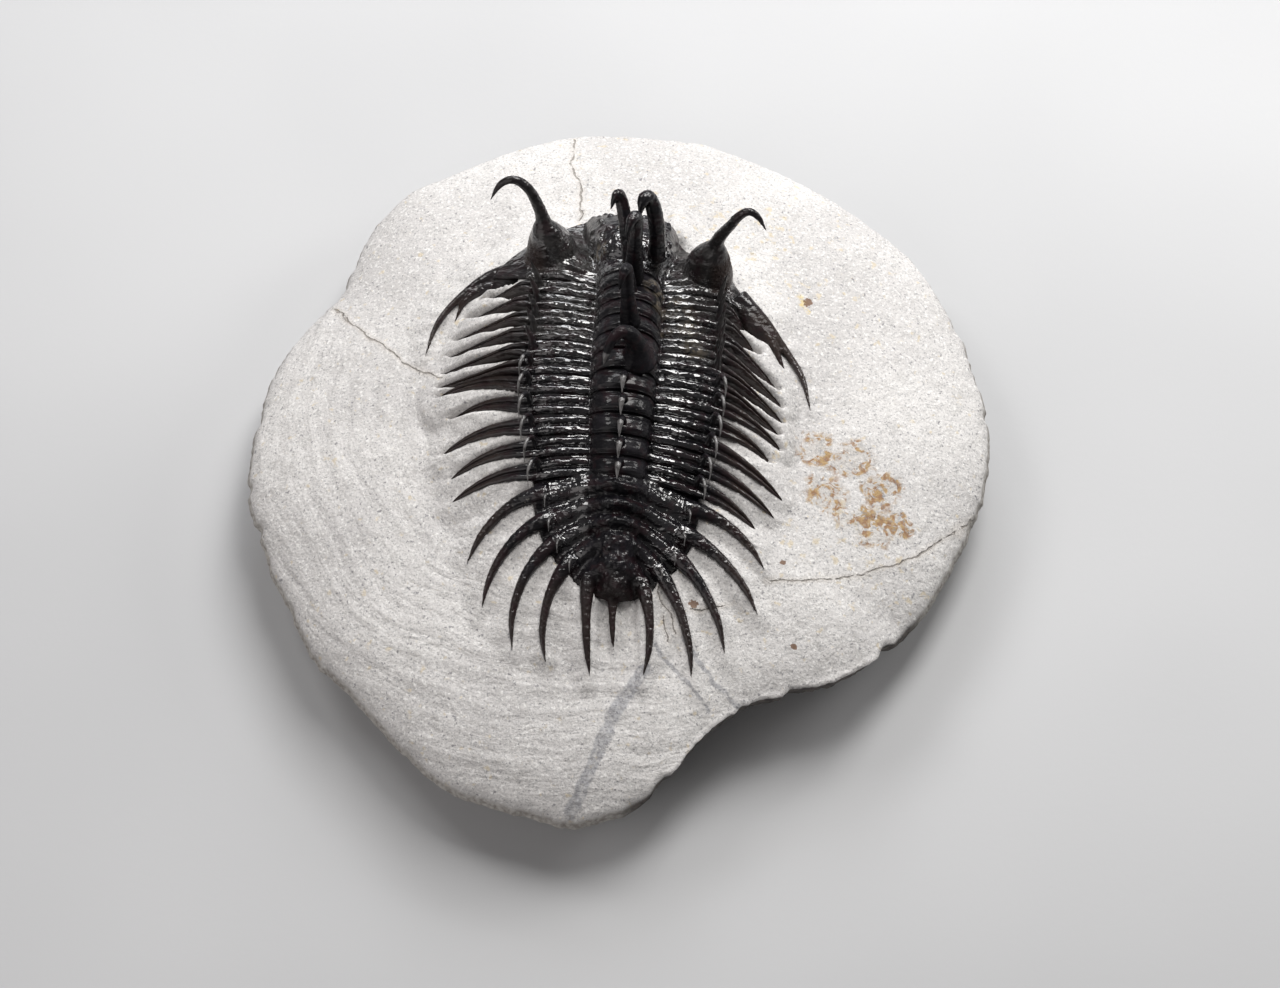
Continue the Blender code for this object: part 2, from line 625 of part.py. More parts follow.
def marginal_spine(name, row, outward, tip, radius):
    """A spine from the tail shield's margin that curves back over the rock."""
    x, s, h = pygidium_point(row, MARGIN_ROOT * outward)
    root = pygidium_place(x, s, h - MARGIN_SINK)
    root.z = max(root.z, rock_height(root.x, root.y) + radius + TIP_CLEARANCE)
    end = Vector((tip[0], tip[1], rock_height(*tip) + TIP_CLEARANCE))
    turn = math.radians(MARGIN_TURN * (1.0 - row / PYGIDIUM_ROWS))
    reach = MARGIN_REACH * math.hypot(end.x - root.x, end.y - root.y)
    bend = root + Vector((outward * math.sin(turn), -math.cos(turn), 0.0)) * reach
    bend.z = (root.z + end.z) / 2.0 + MARGIN_LIFT
    points = [bent_line(root, bend, end, t) for t in MARGIN_PLACES]
    radii = [radius * share for share in MARGIN_TAPER]
    for point, thick in zip(points[1:], radii[1:]):
        point.z = max(point.z, rock_height(point.x, point.y) + thick + TIP_CLEARANCE)
    return spine_solid(name, points, radii, 5, 6)


def rib_spine(row, outward):
    """Small hooked spine on a rib of the tail shield."""
    x, s, h = pygidium_point(row, RIB_SPINE_SHARE * outward)
    points = [pygidium_place(x, s + along, h + up) for along, up in RIB_SPINE]
    return spine_solid("rib spine", points, taper(RIB_SPINE_RADIUS, 3), 2, 4)


def pygidium():
    mesh_data = bmesh.new()
    tops = []
    for row in range(PYGIDIUM_ROWS + 1):
        shares = pygidium_columns(row)
        signed = [-f for f in reversed(shares[1:])] + shares
        tops.append([mesh_data.verts.new(pygidium_place(*pygidium_point(row, f))) for f in signed])
    for row_a, row_b in zip(tops, tops[1:]):
        bridge(mesh_data, row_a, row_b, closed=False)
    rim = tops[0] + [row[-1] for row in tops[1:]] + [row[0] for row in reversed(tops[1:-1])]
    close_underside(
        mesh_data, rim, len(tops[0]), SEGMENT_COUNT, PYGIDIUM_EDGE,
        pygidium_place(0.0, -PYGIDIUM_LENGTH / 2.0, -PYGIDIUM_HOLLOW),
    )
    bmesh.ops.remove_doubles(mesh_data, verts=mesh_data.verts, dist=0.001)
    shield = new_object("pygidium", mesh_data, shell_material("pygidium"))
    spines = []
    for index, row in enumerate(MARGIN_ROWS):
        radius = MARGIN_RADIUS - MARGIN_STEP * index
        spines.append(marginal_spine("left", row, -1.0, MARGIN_LEFT_TIPS[index], radius))
        spines.append(marginal_spine("right", row, 1.0, MARGIN_RIGHT_TIPS[index], radius))
    spines.append(marginal_spine("median", PYGIDIUM_ROWS, 1.0, MARGIN_MEDIAN_TIP, MEDIAN_RADIUS))
    spines += [rib_spine(row, outward) for row in RIB_SPINE_ROWS for outward in (-1.0, 1.0)]
    fuse(shield, spines)
    return shield


def head_height(x, y):
    """Top of the head shield, without eyes and spines, before the roll is added."""
    side = abs(x)
    furrow = read_curve(HEAD_FURROW, y)
    half = read_curve(GLABELLA_HALF, y)
    cheek = furrow - FULCRUM_DROP * smooth((side - CHEEK_CREST) / (FULCRUM[0] - CHEEK_CREST))
    cheek -= CHEEK_FALL * max(0.0, side - FULCRUM[0]) ** 1.5
    cheek += EYE_MOUND * smooth(1.0 - math.hypot(side - EYE_PLACE[0], y - EYE_PLACE[1]) / EYE_REACH)
    if side >= half:
        return cheek
    top = read_curve(GLABELLA_TOP, y)
    return furrow + (top - furrow) * arch(side / half)


def head_back(x):
    """Back margin of the head shield, in front of the first segment."""
    y, z, pitch = segment_station(1)
    share = min(abs(x) / FULCRUM[0], 1.0)
    along = RIB_SECTION[0][0] + HEAD_GAP + FULCRUM_FORWARD * share * share
    height = cross_height(min(abs(x), FULCRUM[0]), AXIS_HALF[0], AXIS_HEIGHT[0], FULCRUM[0])
    return y + along * math.cos(pitch) - height * math.sin(pitch)


def head_grid(row, column):
    """Plan point of the head's grid: row 0 at the back, columns from left to right."""
    t = row / HEAD_ROWS
    share = 2.0 * column / (HEAD_COLUMNS - 1) - 1.0
    margin = CHEEK_LEFT if share < 0.0 else CHEEK_RIGHT
    corner = spline_point([Vector((x, y, 0.0)) for x, y in margin], t)
    front_y = HEAD_BACK + (HEAD_FRONT - HEAD_BACK) * t
    side = abs(share)
    x = corner.x * side
    straight = front_y + (corner.y - front_y) * side ** HEAD_CURVE
    back = head_back(x) if abs(x) <= FULCRUM[0] else None
    if back is None:
        edge = head_back(math.copysign(FULCRUM[0], x))
        run = (abs(x) - FULCRUM[0]) / max(abs(corner.x) - FULCRUM[0], 0.01)
        back = edge + (corner.y - edge) * min(run, 1.0)
    return x, back + (straight - back) * smooth(t / HEAD_BACK_SHARE)


def cephalon():
    """Head shield with glabella, eyes, horns, occipital pair and genal spines."""
    mesh_data = bmesh.new()
    grid = []
    for row in range(HEAD_ROWS + 1):
        line = []
        for column in range(HEAD_COLUMNS):
            x, y = head_grid(row, column)
            line.append(mesh_data.verts.new(place(x, y, head_height(x, y))))
        grid.append(line)
    for row_a, row_b in zip(grid, grid[1:]):
        bridge(mesh_data, row_a, row_b, closed=False)
    rim = list(grid[0]) + [line[-1] for line in grid[1:]]
    rim += list(reversed(grid[-1][:-1])) + [line[0] for line in reversed(grid[1:-1])]
    close_underside(mesh_data, rim, HEAD_COLUMNS, 1, HEAD_EDGE, Vector(HEAD_UNDERSIDE))
    shield = new_object("cephalon", mesh_data, shell_material("cephalon"))
    parts = []
    for way, stations, sides in (
        (EYE_LEFT, 11, 10), (EYE_RIGHT, 11, 10), (OCCIPITAL_LEFT, 7, 6), (OCCIPITAL_RIGHT, 7, 6),
        (GENAL_LEFT, 6, 6), (GENAL_RIGHT, 6, 6), (SHORT_LEFT, 4, 5), (SHORT_RIGHT, 4, 5),
    ):
        points = [p[:3] for p in way]
        parts.append(spine_solid("head spine", points, [p[3] for p in way], stations, sides))
    fuse(shield, parts)
    return shield


def matrix():
    """The loose piece of limestone: domed top with the fossil's bed, rounded side, flat base."""
    angles = [360.0 * k / SLAB_SPOKES for k in range(SLAB_SPOKES)]
    rims = []
    for angle in angles:
        turn = math.radians(angle)
        rims.append(Vector((math.cos(turn), math.sin(turn), 0.0)) * outline_radius(angle))
    middle_x = (max(p.x for p in rims) + min(p.x for p in rims)) / 2.0
    middle_y = (max(p.y for p in rims) + min(p.y for p in rims)) / 2.0
    rims = [p - Vector((middle_x, middle_y, 0.0)) for p in rims]
    mesh_data = bmesh.new()
    rings = []
    for share, level in reversed(UNDERSIDE):
        ring = []
        for angle, p in zip(angles, rims):
            rim_z = RIM_HEIGHT + BREAK_RIM_RISE * in_break(angle)
            ring.append(mesh_data.verts.new((p.x * share, p.y * share, level * rim_z)))
        rings.append(ring)
    for share in SLAB_RINGS:
        ring = []
        for angle, p in zip(angles, rims):
            x, y = p.x * share, p.y * share
            rim_z = RIM_HEIGHT + BREAK_RIM_RISE * in_break(angle)
            z = rim_z if share == 1.0 else rock_height(x, y)
            ring.append(mesh_data.verts.new((x, y, z)))
        rings.append(ring)
    for ring_a, ring_b in zip(rings, rings[1:]):
        bridge(mesh_data, ring_a, ring_b)
    mesh_data.faces.new(rings[0])
    fan(mesh_data, rings[-1], mesh_data.verts.new((0.0, 0.0, rock_height(0.0, 0.0))))
    return new_object("matrix", mesh_data, stone_material("matrix"))


def build():
    clear_scene()
    pieces = [matrix(), cephalon()]
    pieces += [thorax_segment(number) for number in range(1, SEGMENT_COUNT + 1)]
    pieces.append(pygidium())
    for piece in pieces:
        finish_shading(piece)


build()
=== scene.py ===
"""Looks of the comura trilobite on its limestone: fine shell, rock surface, materials, light and camera.

Shapes are worked out in millimetres from the same values and curves as the solids of the frame, so
every piece lies where its solid lies. MM turns them into metres.
"""
from functools import partialmethod
from math import atan2, copysign, cos, degrees, exp, hypot, pi, radians, sin, tan

import bmesh
import bpy
import numpy as np
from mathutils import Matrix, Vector, kdtree, noise
from mathutils.bvhtree import BVHTree


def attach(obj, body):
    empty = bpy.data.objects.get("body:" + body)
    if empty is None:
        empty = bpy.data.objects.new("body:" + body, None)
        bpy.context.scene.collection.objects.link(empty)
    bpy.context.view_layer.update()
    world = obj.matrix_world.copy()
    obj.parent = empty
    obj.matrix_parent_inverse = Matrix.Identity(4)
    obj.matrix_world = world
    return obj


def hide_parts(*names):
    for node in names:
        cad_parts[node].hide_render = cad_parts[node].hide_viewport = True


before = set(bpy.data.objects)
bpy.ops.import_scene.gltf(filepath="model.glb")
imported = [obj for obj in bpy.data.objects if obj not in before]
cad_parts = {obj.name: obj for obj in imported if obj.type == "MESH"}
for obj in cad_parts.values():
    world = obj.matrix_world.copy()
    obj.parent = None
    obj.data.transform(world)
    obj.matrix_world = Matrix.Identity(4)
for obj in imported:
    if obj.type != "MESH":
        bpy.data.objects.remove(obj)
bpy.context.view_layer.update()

MM = 0.001
GAP = 0.3

# Values and curves of the solids
OUTLINE_RADII = (
    57.5, 58.5, 58.5, 59.0, 59.5, 59.0, 59.0, 59.0, 60.0, 60.0, 60.5, 60.0, 59.5, 60.0, 57.5, 54.0, 55.5, 57.0,
    57.5, 58.0, 57.0, 56.5, 57.0, 56.5, 58.0, 60.0, 60.0, 60.0, 55.5, 48.5, 47.0, 49.5, 52.0, 53.0, 54.0, 55.5,
)
RIM_HEIGHT = 10.0
DOME_HEIGHT = 20.0
BREAK_FROM = 276.0
BREAK_TO = 330.0
BREAK_RIM_RISE = 2.5
BREAK_FADE = 9.0
DOME_FLATNESS = 3.0
DOME_SHOULDER = 0.6
SLAB_SPOKES = 60
UNDERSIDE = ((0.985, 0.74), (0.93, 0.38), (0.87, 0.12), (0.8, 0.0))

ROLL = radians(6.0)
ROLL_HEIGHT = 26.0
TAIL_BEND = 1.7
TAIL_BEND_FROM = 2.0
TAIL_BEND_POWER = 1.3

TAIL_Y = -28.65
TAIL_Z = 22.7
TAIL_LENGTH = 18.0
TAIL_PITCH = 12.9
SEGMENT_PITCH = 3.0
SEGMENT_ANGLES = (-16.0, -15.0, -14.0, -12.0, -8.0, -2.0, 6.0, 12.0, 16.0, 18.0, 19.0)
SEGMENT_COUNT = len(SEGMENT_ANGLES)

FULCRUM = (14.8, 14.8, 14.8, 14.8, 14.8, 14.8, 14.7, 14.4, 13.9, 13.2, 12.5)
AXIS_HALF = (5.0, 5.0, 5.0, 5.0, 5.0, 5.0, 4.9, 4.8, 4.6, 4.4, 4.2)
AXIS_HEIGHT = (4.4, 4.4, 4.4, 4.4, 4.3, 4.2, 4.0, 3.8, 3.6, 3.4, 3.2)
FULCRUM_DROP = 1.2
FULCRUM_FORWARD = 1.5
PLEURA_ARCH = 0.35
SHELL = 1.6
AXIS_HOLLOW = 0.65
ARCH_FLATNESS = 2.3
ARCH_SHOULDER = 0.55
RIB_FRONT = 1.35

# Sections along a segment and up from it, at the side plates, the axis and the flange in front
FINE_RIB = (
    (1.36, -0.62), (1.16, -0.1), (0.8, 0.04), (0.42, -0.1), (0.06, -0.62), (-0.28, -0.1), (-0.64, 0.13),
    (-1.02, 0.06), (-1.24, -0.2), (-1.36, -0.6), (-1.0, -SHELL), (1.0, -SHELL),
)
FINE_RING = (
    (1.36, -0.84), (1.14, -0.42), (0.82, -0.14), (0.45, -0.02), (0.08, 0.06), (-0.3, 0.12), (-0.68, 0.16),
    (-1.0, 0.0), (-1.22, -0.28), (-1.36, -0.64), (-1.0, -SHELL), (1.0, -SHELL),
)
TOP_POINTS = 10
RIB_CREST = 3
LIP = ((1.0, -0.62), (1.75, -0.66), (2.1, -0.95), (1.8, -1.3), (1.0, -1.4))
RING_SHARE = 0.85
FURROW_SHARE = 0.3

LEFT_TIPS = (
    (-22.8, 20.4), (-24.8, 17.2), (-26.3, 13.7), (-26.8, 10.8), (-27.3, 7.9), (-27.9, 5.3), (-28.0, 3.0),
    (-25.4, -0.8), (-26.1, -6.3), (-24.4, -10.1), (-23.7, -13.7),
)
RIGHT_TIPS = (
    (18.0, 17.6), (20.2, 13.6), (23.4, 8.2), (24.4, 5.2), (24.4, 2.8), (23.9, 0.6), (24.3, -1.9), (22.8, -4.2),
    (24.8, -9.9), (23.6, -12.7), (21.1, -15.0),
)
TIP_CLEARANCE = 0.85
POINT_RADIUS = 0.05

# Side spines of the front and rear segments, at these shares of their length, by the side they point to:
# bow, lift, forward shift, widths, thicknesses and rise
FRONT_BLADES = 6
BLADE_PLACES = (0.0, 0.2, 0.42, 0.64, 0.84, 1.0)
BLADE_MIDDLE = 0.55
BLADE_CENTRE = 0.6
BLADE_REACH = 1.05
BLADE_BLEND = 0.14
LEVEL = (0.0,) * 6
FRONT_WIDTH = (1.05, 0.66, 0.52, 0.4, 0.26, 0.03)
FRONT_SIDES = {
    -1.0: (-1.5, 0.1, 0.9, FRONT_WIDTH, (1.4, 1.5, 1.35, 1.0, 0.55, 0.03), (0.6, 0.7, 0.5, 0.28, 0.1, 0.0)),
    1.0: (-0.4, 0.1, 0.9, FRONT_WIDTH, (0.9, 1.25, 1.2, 0.9, 0.5, 0.03), LEVEL),
}
REAR_WIDTH = (1.0, 0.84, 0.67, 0.48, 0.28, 0.03)
REAR_THICKNESS = (0.9, 0.72, 0.56, 0.44, 0.3, 0.03)
REAR_SIDES = {
    -1.0: (2.0, 0.26, 0.0, REAR_WIDTH, REAR_THICKNESS, LEVEL),
    1.0: (1.3, 0.26, 0.0, REAR_WIDTH, REAR_THICKNESS, LEVEL),
}

# Spines on the axis of a segment, from its crest: x, y, z and radius
AXIAL_SPINES = {
    1: (
        (0.0, -0.3, -0.8, 1.3), (0.2, 1.2, 5.9, 1.1), (0.3, 3.2, 10.0, 1.0), (0.1, 3.4, 11.3, 0.95),
        (-0.4, 2.4, 11.7, 0.75), (-0.8, 1.0, 10.8, 0.4), (-0.9, 0.2, 9.9, 0.05),
    ),
    2: ((0.0, -0.2, -0.8, 0.69), (-0.2, 0.4, 3.0, 0.6), (-0.6, 0.2, 6.2, 0.54), (-0.8, -0.5, 7.4, 0.05)),
    3: ((0.0, 0.0, -0.8, 0.575), (-0.2, 0.3, 1.6, 0.5), (-0.4, -0.2, 3.2, 0.05)),
    4: (
        (0.0, -0.4, -0.6, 1.2), (-0.5, 1.8, 4.4, 1.0), (-0.7, 3.5, 7.8, 0.9), (-0.8, 3.4, 9.0, 0.85),
        (-1.2, 2.3, 9.3, 0.65), (-1.5, 1.1, 8.4, 0.35), (-1.6, 0.5, 7.7, 0.05),
    ),
    5: ((0.0, 0.0, -0.8, 0.92), (0.0, 0.1, 1.0, 0.8), (0.0, -0.3, 1.9, 0.05)),
    6: (
        (1.5, 0.4, -1.4, 2.2), (1.3, 1.0, 1.4, 1.6), (0.4, 1.5, 3.9, 1.25), (-1.0, 1.2, 5.2, 1.0),
        (-2.3, -0.2, 4.9, 0.75), (-3.0, -1.8, 3.7, 0.5), (-3.3, -3.0, 2.6, 0.05),
    ),
}
AXIAL_HOOK = ((0.0, 0.3, -0.8, 0.575), (-0.1, 0.1, 1.4, 0.5), (-0.3, -1.3, 2.5, 0.45), (-0.3, -3.3, 1.9, 0.05))
# Shares of the length beyond which an axial spine turns to the pale shell, partly painted highlight
PALE_FROM = {6: 0.79, 7: 0.58}

# Spines at the fulcra, x outward
FULCRAL_INSET = 0.9
FINNED = 5
FINS = {
    -1.0: ((0.0, -0.3, -0.9), (0.3, 0.5, 1.2), (0.9, 1.2, 2.5), (1.3, 1.6, 3.8)),
    1.0: ((0.0, -0.3, -0.9), (0.2, 0.8, 1.5), (0.6, 1.8, 3.2), (1.1, 2.7, 4.9)),
}
FIN_RADIUS = 1.0
FIN_THIN = 0.6
REAR_HOOK = ((0.0, 0.2, -0.9), (0.5, 0.5, 1.4), (1.2, -0.6, 2.6), (1.5, -2.3, 2.5), (1.3, -4.2, 1.4))
REAR_HOOK_RADIUS = 0.48
REAR_HOOK_PALE = 0.42

PYGIDIUM_LENGTH = 16.6
PYGIDIUM_HALF = 12.3
PYGIDIUM_ROWS = 12
PYGIDIUM_AXIS_END = 16.0
PYGIDIUM_AXIS_HALF = 4.1
PYGIDIUM_AXIS_HEIGHT = 3.0
PYGIDIUM_AXIS_MOST = 0.8
PYGIDIUM_DROOP = 1.9
PYGIDIUM_SWEEP = 1.4
PYGIDIUM_EDGE = 0.9
PYGIDIUM_HOLLOW = 1.5
PYGIDIUM_AXIS_TAPER = 0.55
PYGIDIUM_AXIS_FALL = 0.6
PYGIDIUM_LEAN = 0.1
PYGIDIUM_DROOP_POWER = 2.4
PYGIDIUM_LIP = ((1.25, 1.1), (1.1, 0.55), (0.6, 0.2))
RIB_HEIGHT = 0.5
RIB_FADE = 0.3
RIB_SPINE_ROWS = (1, 3, 5, 7)
RIB_HOOK = ((0.0, -0.5), (-0.1, 0.9), (-0.9, 1.8), (-2.3, 1.5))
RIB_HOOK_RADIUS = 0.34
RIB_HOOK_SHARE = 0.84
RIB_HOOK_PALE = 0.4
FINE_SWEEP = 2.1
REAR_REACH = 1.3

# Marginal spines of the tail: row, tips on both sides
MARGIN_SPINES = (
    (1, (-20.8, -23.6), (22.8, -21.3)), (3, (-17.9, -30.4), (22.2, -28.3)), (5, (-12.8, -36.6), (17.7, -34.4)),
    (7, (-7.8, -38.2), (13.1, -38.5)), (9, (-1.4, -39.6), (6.1, -38.9)),
)
MARGIN_MEDIAN_TIP = (1.7, -35.4)
MARGIN_RADIUS = 1.2
MARGIN_STEP = 0.04
MARGIN_SINK = 0.5
MARGIN_ROOT = 0.82
MARGIN_LIFT = 0.7
MARGIN_PLACES = (0.0, 0.18, 0.42, 0.72, 1.0)
MARGIN_TAPER = (0.55, 0.8, 0.66, 0.47, 0.05)
MARGIN_LONGER = 1.04
MARGIN_TURN = 92.0
STRAIGHT_TURN = 3.0
STRAIGHT_ROW = 9
BEND_REACH = 0.56
MEDIAN_RADIUS = 0.8

HEAD_BACK = 21.2
HEAD_FRONT = 38.2
CHEEKS = {
    -1.0: ((-21.0, 23.4), (-19.2, 26.6), (-16.6, 29.6), (-13.6, 32.0), (-10.6, 34.4), (-8.6, 35.6)),
    1.0: ((20.2, 19.4), (18.6, 23.0), (16.0, 26.4), (12.8, 28.4), (9.8, 30.7), (7.8, 33.6)),
}
HEAD_FURROW = ((21.2, 26.7), (24.2, 25.4), (28.0, 23.6), (32.0, 21.4), (36.0, 20.2), (39.0, 20.0))
GLABELLA_TOP = (
    (21.2, 30.6), (22.4, 30.9), (23.6, 30.3), (24.8, 29.0), (26.2, 29.8), (28.4, 29.9), (30.6, 29.2),
    (32.6, 28.0), (34.4, 26.3), (36.0, 24.0), (37.2, 21.6), (38.2, 20.3),
)
GLABELLA_HALF = ((21.2, 5.0), (24.5, 5.0), (27.0, 5.9), (30.0, 7.0), (33.0, 7.4), (36.0, 7.3), (38.2, 6.8))
HEAD_EDGE = 0.85
HEAD_GAP = 0.2
HEAD_CURVE = 2.2
HEAD_BACK_SHARE = 0.42
HEAD_UNDERSIDE = (0.0, 28.0, 21.4)
CHEEK_CREST = 9.0
CHEEK_FALL = 0.17
EYE_PLACE = (11.5, 27.2)
EYE_REACH = 7.0
EYE_MOUND = 2.8
# Folds along the back of the cheeks: height, place in front of the margin and width
BACK_FOLDS = ((0.38, 0.7, 0.5), (0.304, 2.6, 0.55), (-0.3, 1.65, 0.4), (-0.18, 3.7, 0.5))

# Ways of making a spine: stations, sides, flare at the root, share of the length it takes, grain
AXIAL_TUBE = (60, 18, 0.35, 0.3, 0.04)
FIN_TUBE = (30, 16, 0.5, 0.4, 0.03)
HOOK_TUBE = (36, 14, 0.4, 0.3, 0.02)
MARGIN_TUBE = (70, 20, 0.9, 0.5, 0.035)
RIB_TUBE = (24, 12, 0.3, 0.3, 0.02)
EYE_TUBE = (90, 28, 0.0, 0.3, 0.05)
HEAD_TUBE = (90, 20, 0.2, 0.3, 0.05)

# Spines of the head: x, y, z and radius. First the ones that stand free: two eye towers with their horns, two
# tall spines behind the glabella and the saddles beside the eyes
HEAD_SEED = 20.0
OCCIPITAL_SWELL = 1.14
FREE_SPINES = (
    (
        (-12.3, 27.3, 23.6, 4.2), (-12.6, 27.6, 27.0, 3.8), (-13.2, 28.0, 29.8, 2.8), (-13.6, 28.5, 31.6, 1.8),
        (-13.8, 29.0, 32.8, 1.15), (-14.3, 29.7, 34.6, 0.95), (-15.6, 30.6, 37.8, 0.8),
        (-17.2, 31.1, 39.6, 0.72), (-18.8, 31.1, 39.9, 0.62), (-20.4, 30.6, 38.8, 0.48),
        (-21.9, 29.2, 36.1, 0.05),
    ),
    (
        (11.6, 26.7, 22.2, 4.1), (11.8, 26.8, 25.3, 3.7), (12.3, 27.1, 28.0, 2.8), (12.7, 27.4, 29.8, 1.8),
        (12.9, 27.7, 31.0, 1.15), (13.5, 27.9, 33.0, 0.95), (14.9, 28.0, 36.0, 0.8), (16.0, 28.3, 38.0, 0.72),
        (17.4, 28.6, 39.0, 0.62), (18.9, 28.1, 38.4, 0.48), (20.5, 26.8, 36.0, 0.05),
    ),
    (
        (0.3, 23.3, 28.6, 1.0), (-0.3, 24.0, 33.6, 1.0), (-0.9, 26.1, 38.0, 0.95), (-1.8, 28.4, 41.0, 0.85),
        (-2.5, 28.2, 41.9, 0.6), (-3.2, 26.2, 40.6, 0.05),
    ),
    (
        (3.3, 23.9, 27.6, 1.1), (3.9, 24.6, 32.0, 1.15), (3.6, 27.0, 37.8, 1.1), (2.5, 28.6, 41.0, 1.0),
        (1.6, 27.6, 41.8, 0.8), (1.2, 25.6, 40.0, 0.05),
    ),
    ((-12.6, 27.7, 26.2, 2.6), (-10.4, 27.6, 24.9, 2.3), (-8.2, 27.4, 23.9, 1.4), (-7.0, 27.2, 23.2, 0.4)),
    ((11.9, 26.8, 24.4, 2.5), (9.8, 26.9, 23.8, 2.2), (7.8, 27.0, 23.2, 1.4), (6.6, 27.0, 22.6, 0.4)),
)
# Genal spines, the short ones beside them and the cheek lobes, which lie on the rock
LYING_SPINES = (
    (
        (-17.4, 26.0, 22.6, 1.3), (-22.2, 24.2, 22.4, 0.95), (-26.7, 20.5, 21.4, 0.6),
        (-29.6, 16.2, 20.5, 0.46), (-31.0, 10.4, 19.7, 0.05),
    ),
    (
        (16.8, 23.6, 22.2, 1.2), (20.6, 19.9, 21.9, 0.95), (24.3, 15.4, 20.9, 0.65), (27.2, 11.1, 20.2, 0.5),
        (29.0, 4.9, 19.5, 0.05),
    ),
    ((-20.2, 23.6, 21.8, 1.1), (-23.6, 21.9, 21.9, 0.95), (-25.7, 19.9, 21.5, 0.5), (-27.0, 16.4, 20.6, 0.05)),
    ((18.2, 21.6, 21.8, 0.9), (21.9, 16.8, 21.6, 0.8), (24.9, 11.0, 20.5, 0.05)),
    ((-15.5, 25.3, 22.6, 1.3), (-19.0, 24.2, 21.9, 1.8), (-21.6, 23.6, 21.4, 1.5), (-23.4, 23.0, 21.2, 0.5)),
    ((16.4, 23.2, 21.8, 1.3), (18.6, 20.4, 21.3, 1.7), (20.4, 18.0, 21.0, 1.4), (21.6, 16.2, 20.8, 0.5)),
)

BED_DEPTH = 4.2
BED_HALF = (
    (-27.5, 3.0), (-25.0, 6.5), (-20.0, 9.5), (-12.0, 11.6), (-6.0, 13.0), (2.0, 14.4), (18.0, 13.6),
    (24.0, 11.6), (28.0, 11.4), (32.0, 9.5), (36.0, 6.0),
)
BED_SLOPE = ((-28.0, 3.0), (-6.0, 3.5), (2.0, 8.0), (14.0, 7.0), (20.0, 3.6), (30.0, 3.0))

# Fineness of the dressed pieces
BODY_STATIONS = 180
BLADE_STATIONS = 44
SECTION_POINTS = 40
LIP_STATIONS = 60
LIP_POINTS = 12
TAIL_ROWS = PYGIDIUM_ROWS * 12
TAIL_COLUMNS = 60
HEAD_ROWS = 90
HEAD_COLUMNS = 180
ROCK_CELLS = 256
SIDE_RINGS = 22
EASE_PASSES = 3
HEAD_VOXEL = 0.2
TAIL_VOXEL = 0.19

# Roughness of the surfaces: amount, frequency along x, frequency across it and seed of each layer
FINE_STEP = 0.32
CRINKLE = 0.17
TAIL_GRAIN = ((0.07, 1.4, 1.8, 4.0), (0.05, 3.4, 3.4, 5.0))
HEAD_GRAIN = ((0.06, 1.3, 1.6, 8.0), (0.05, 3.2, 3.2, 9.0))
ROCK_GRAIN = tuple(
    (amount, 1.0 / size, 1.0 / size, seed)
    for amount, size, seed in ((0.3, 11.0, 40.0), (0.12, 3.2, 41.0), (0.05, 1.1, 42.0))
)
RIM_GRAIN = ((0.5, 9.0, 9.0, 30.0), (0.35, 27.0, 27.0, 31.0), (0.2, 72.0, 72.0, 32.0))
RIM_CHIPS = ((1.0, 14.4, 14.4, 33.0),)

# The rock under and around the fossil, and how far it rises to the shells
BREAK_LEVEL = 14.2
HELD_HALF = (34.0, 42.0)
FILL_HALF = (38.0, 46.0)
EASE_HALF = (36.0, 44.0)
UNDER_BODY = -0.3
UNDER_SPINES = 0.1
BESIDE_BODY = -0.8
BESIDE_SPINES = 0.1
FILL_REACH = 5.5
FILL_STEEP = 0.62
# How much higher and less steep the fill is beside the front spines
FRONT_FILL = 0.1
# Half width of the body proper, where no rock shows between its pieces
BODY_HALF = (
    (-27.0, 3.0), (-22.0, 9.0), (-12.0, 12.0), (0.0, 14.0), (3.0, 16.0), (20.0, 17.0), (24.0, 14.4),
    (30.0, 12.0), (37.0, 5.0),
)

# Marks on the rock, in millimetres from the middle of the slab
CRACKS = (
    ((-11.6, 57.3), (-11.5, 50.4), (-9.7, 44.7), (-9.0, 40.5), (-9.1, 37.4)),
    ((-47.0, 22.1), (-41.1, 16.1), (-34.9, 11.1), (-29.9, 8.0), (-27.3, 6.1)),
    ((23.7, -22.7), (29.9, -21.7), (37.4, -19.8), (45.6, -15.6), (54.9, -7.0)),
)
HAIR_CRACKS = (
    ((7.8, -25.8), (8.2, -28.0), (10.0, -29.8), (10.6, -32.0)), ((8.6, -30.2), (9.3, -33.5)),
    ((12.5, -28.6), (15.5, -27.9), (18.6, -26.8)),
)
# Veins: path, and the distances from it where they start and are full
VEINS = (
    (((6.5, -38.1), (2.5, -44.1), (0.7, -49.2), (-1.1, -54.0), (-2.7, -58.1)), 1.15, 0.75),
    (((7.0, -33.8), (9.3, -36.2), (13.0, -39.4), (16.4, -42.6)), 0.4, 0.15),
    (((11.6, -32.6), (14.2, -36.0), (17.4, -38.8), (20.4, -41.0)), 0.45, 0.2),
)
